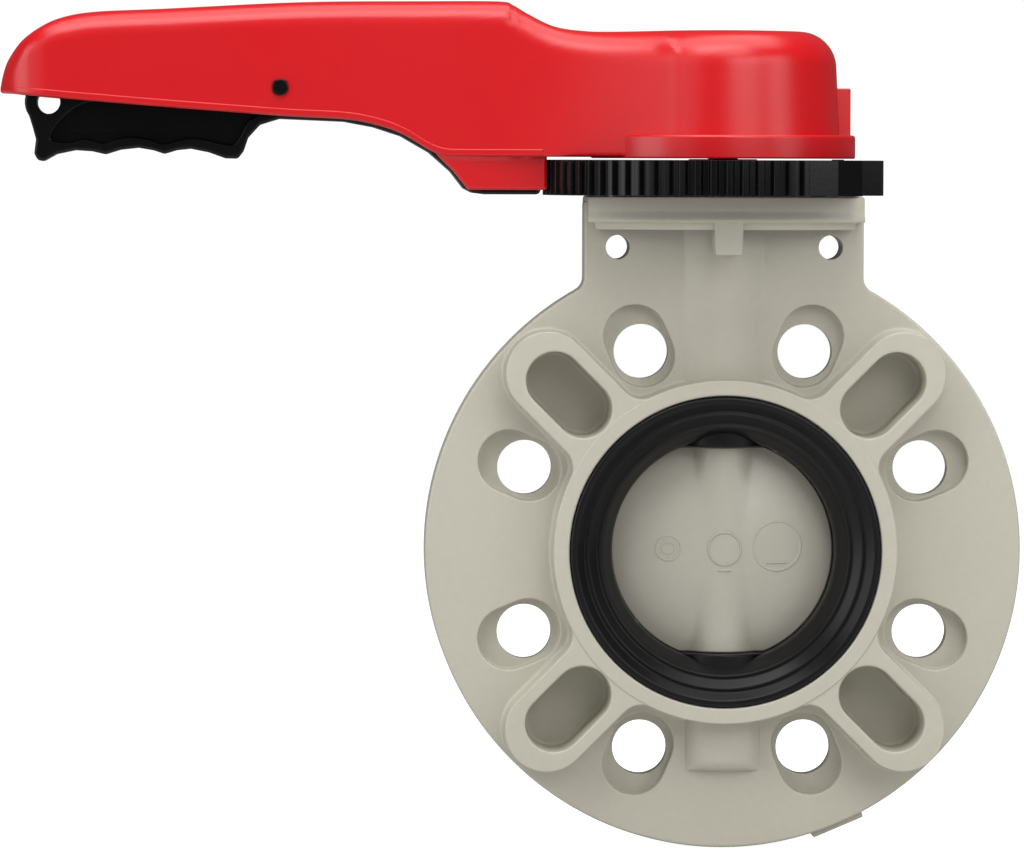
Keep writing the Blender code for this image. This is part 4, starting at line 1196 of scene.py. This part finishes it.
def makeFloor():
    # plain paper; its glow is for the camera alone and puts no light on the piece
    p = np.array([[(-1.0, -1.0), (1.0, -1.0)], [(-1.0, 1.0), (1.0, 1.0)]]) * studio["floorSize"]
    mesh = bpy.data.meshes.new("floor")
    flat = np.concatenate([p, np.full((2, 2, 1), studio["floorZ"] * mm)], -1).reshape(-1, 3)
    mesh.from_pydata(flat.tolist(), [], [(0, 1, 3, 2)])
    surface, tree, shader, where = newSurface("floorPaper")
    colour = studio["floorColour"]
    tone = mixColour(tree, noise(tree, where, 300.0), (*colour, 1.0),
                     (*(0.985 * c for c in colour), 1.0))
    link(tree, tone, shader.inputs["Base Color"])
    link(tree, tone, shader.inputs["Emission Color"])
    seen = newNode(tree, "ShaderNodeLightPath").outputs["Is Camera Ray"]
    link(tree, math2(tree, "MULTIPLY", seen, studio["floorGlow"]),
         shader.inputs["Emission Strength"])
    shader.inputs["Roughness"].default_value = 0.9
    shader.inputs["Specular IOR Level"].default_value = 0.1
    mesh.materials.append(surface)
    floor = newThing("floor", mesh)


def softBox(name, place, target, size, power):
    lamp = bpy.data.lights.new(name, "AREA")
    lamp.shape = "RECTANGLE"
    lamp.size, lamp.size_y = size
    lamp.energy = power
    thing = newThing(name, lamp)
    thing.location = place
    thing.rotation_euler = (Vector(target) - Vector(place)).to_track_quat("-Z", "Y").to_euler()


def makeLight():
    # a dim even fill for the piece, a brighter backdrop for the camera alone, and the lamps
    world = bpy.data.worlds.new("studio")
    bpy.context.scene.world = world
    world.use_nodes = True
    tree = world.node_tree
    white = (1.0, 1.0, 1.0, 1.0)
    fill = tree.nodes["Background"]
    seen = newNode(tree, "ShaderNodeBackground")
    for node, strength in ((fill, studio["fill"]), (seen, studio["backdrop"])):
        node.inputs["Color"].default_value = white
        node.inputs["Strength"].default_value = strength
    path = newNode(tree, "ShaderNodeLightPath")
    mix = newNode(tree, "ShaderNodeMixShader")
    link(tree, path.outputs["Is Camera Ray"], mix.inputs[0])
    link(tree, fill.outputs[0], mix.inputs[1])
    link(tree, seen.outputs[0], mix.inputs[2])
    link(tree, mix.outputs[0], tree.nodes["World Output"].inputs["Surface"])
    for name, values in lamps.items():
        softBox(name, *values)


view = {"place": (-0.1693, -2.324, 0.1366), "target": (-0.0745, -0.024, 0.0444), "lens": 234.0,
        "roll": 0.17}


def makeCamera():
    camera = bpy.data.cameras.new("camera")
    camera.lens = view["lens"]
    camera.sensor_width = 36.0
    camera.sensor_fit = "HORIZONTAL"
    camera.clip_start = 0.05
    camera.clip_end = 50.0
    thing = newThing("camera", camera)
    thing.location = view["place"]
    look = (Vector(view["target"]) - Vector(view["place"])).to_track_quat("-Z", "Y")
    thing.rotation_mode = "QUATERNION"
    thing.rotation_quaternion = look @ Quaternion((0.0, 0.0, 1.0), math.radians(view["roll"]))
    bpy.context.scene.camera = thing


makeFloor()
makeLight()
makeCamera()
bpy.context.scene.view_settings.view_transform = "Standard"
print("stage ready")
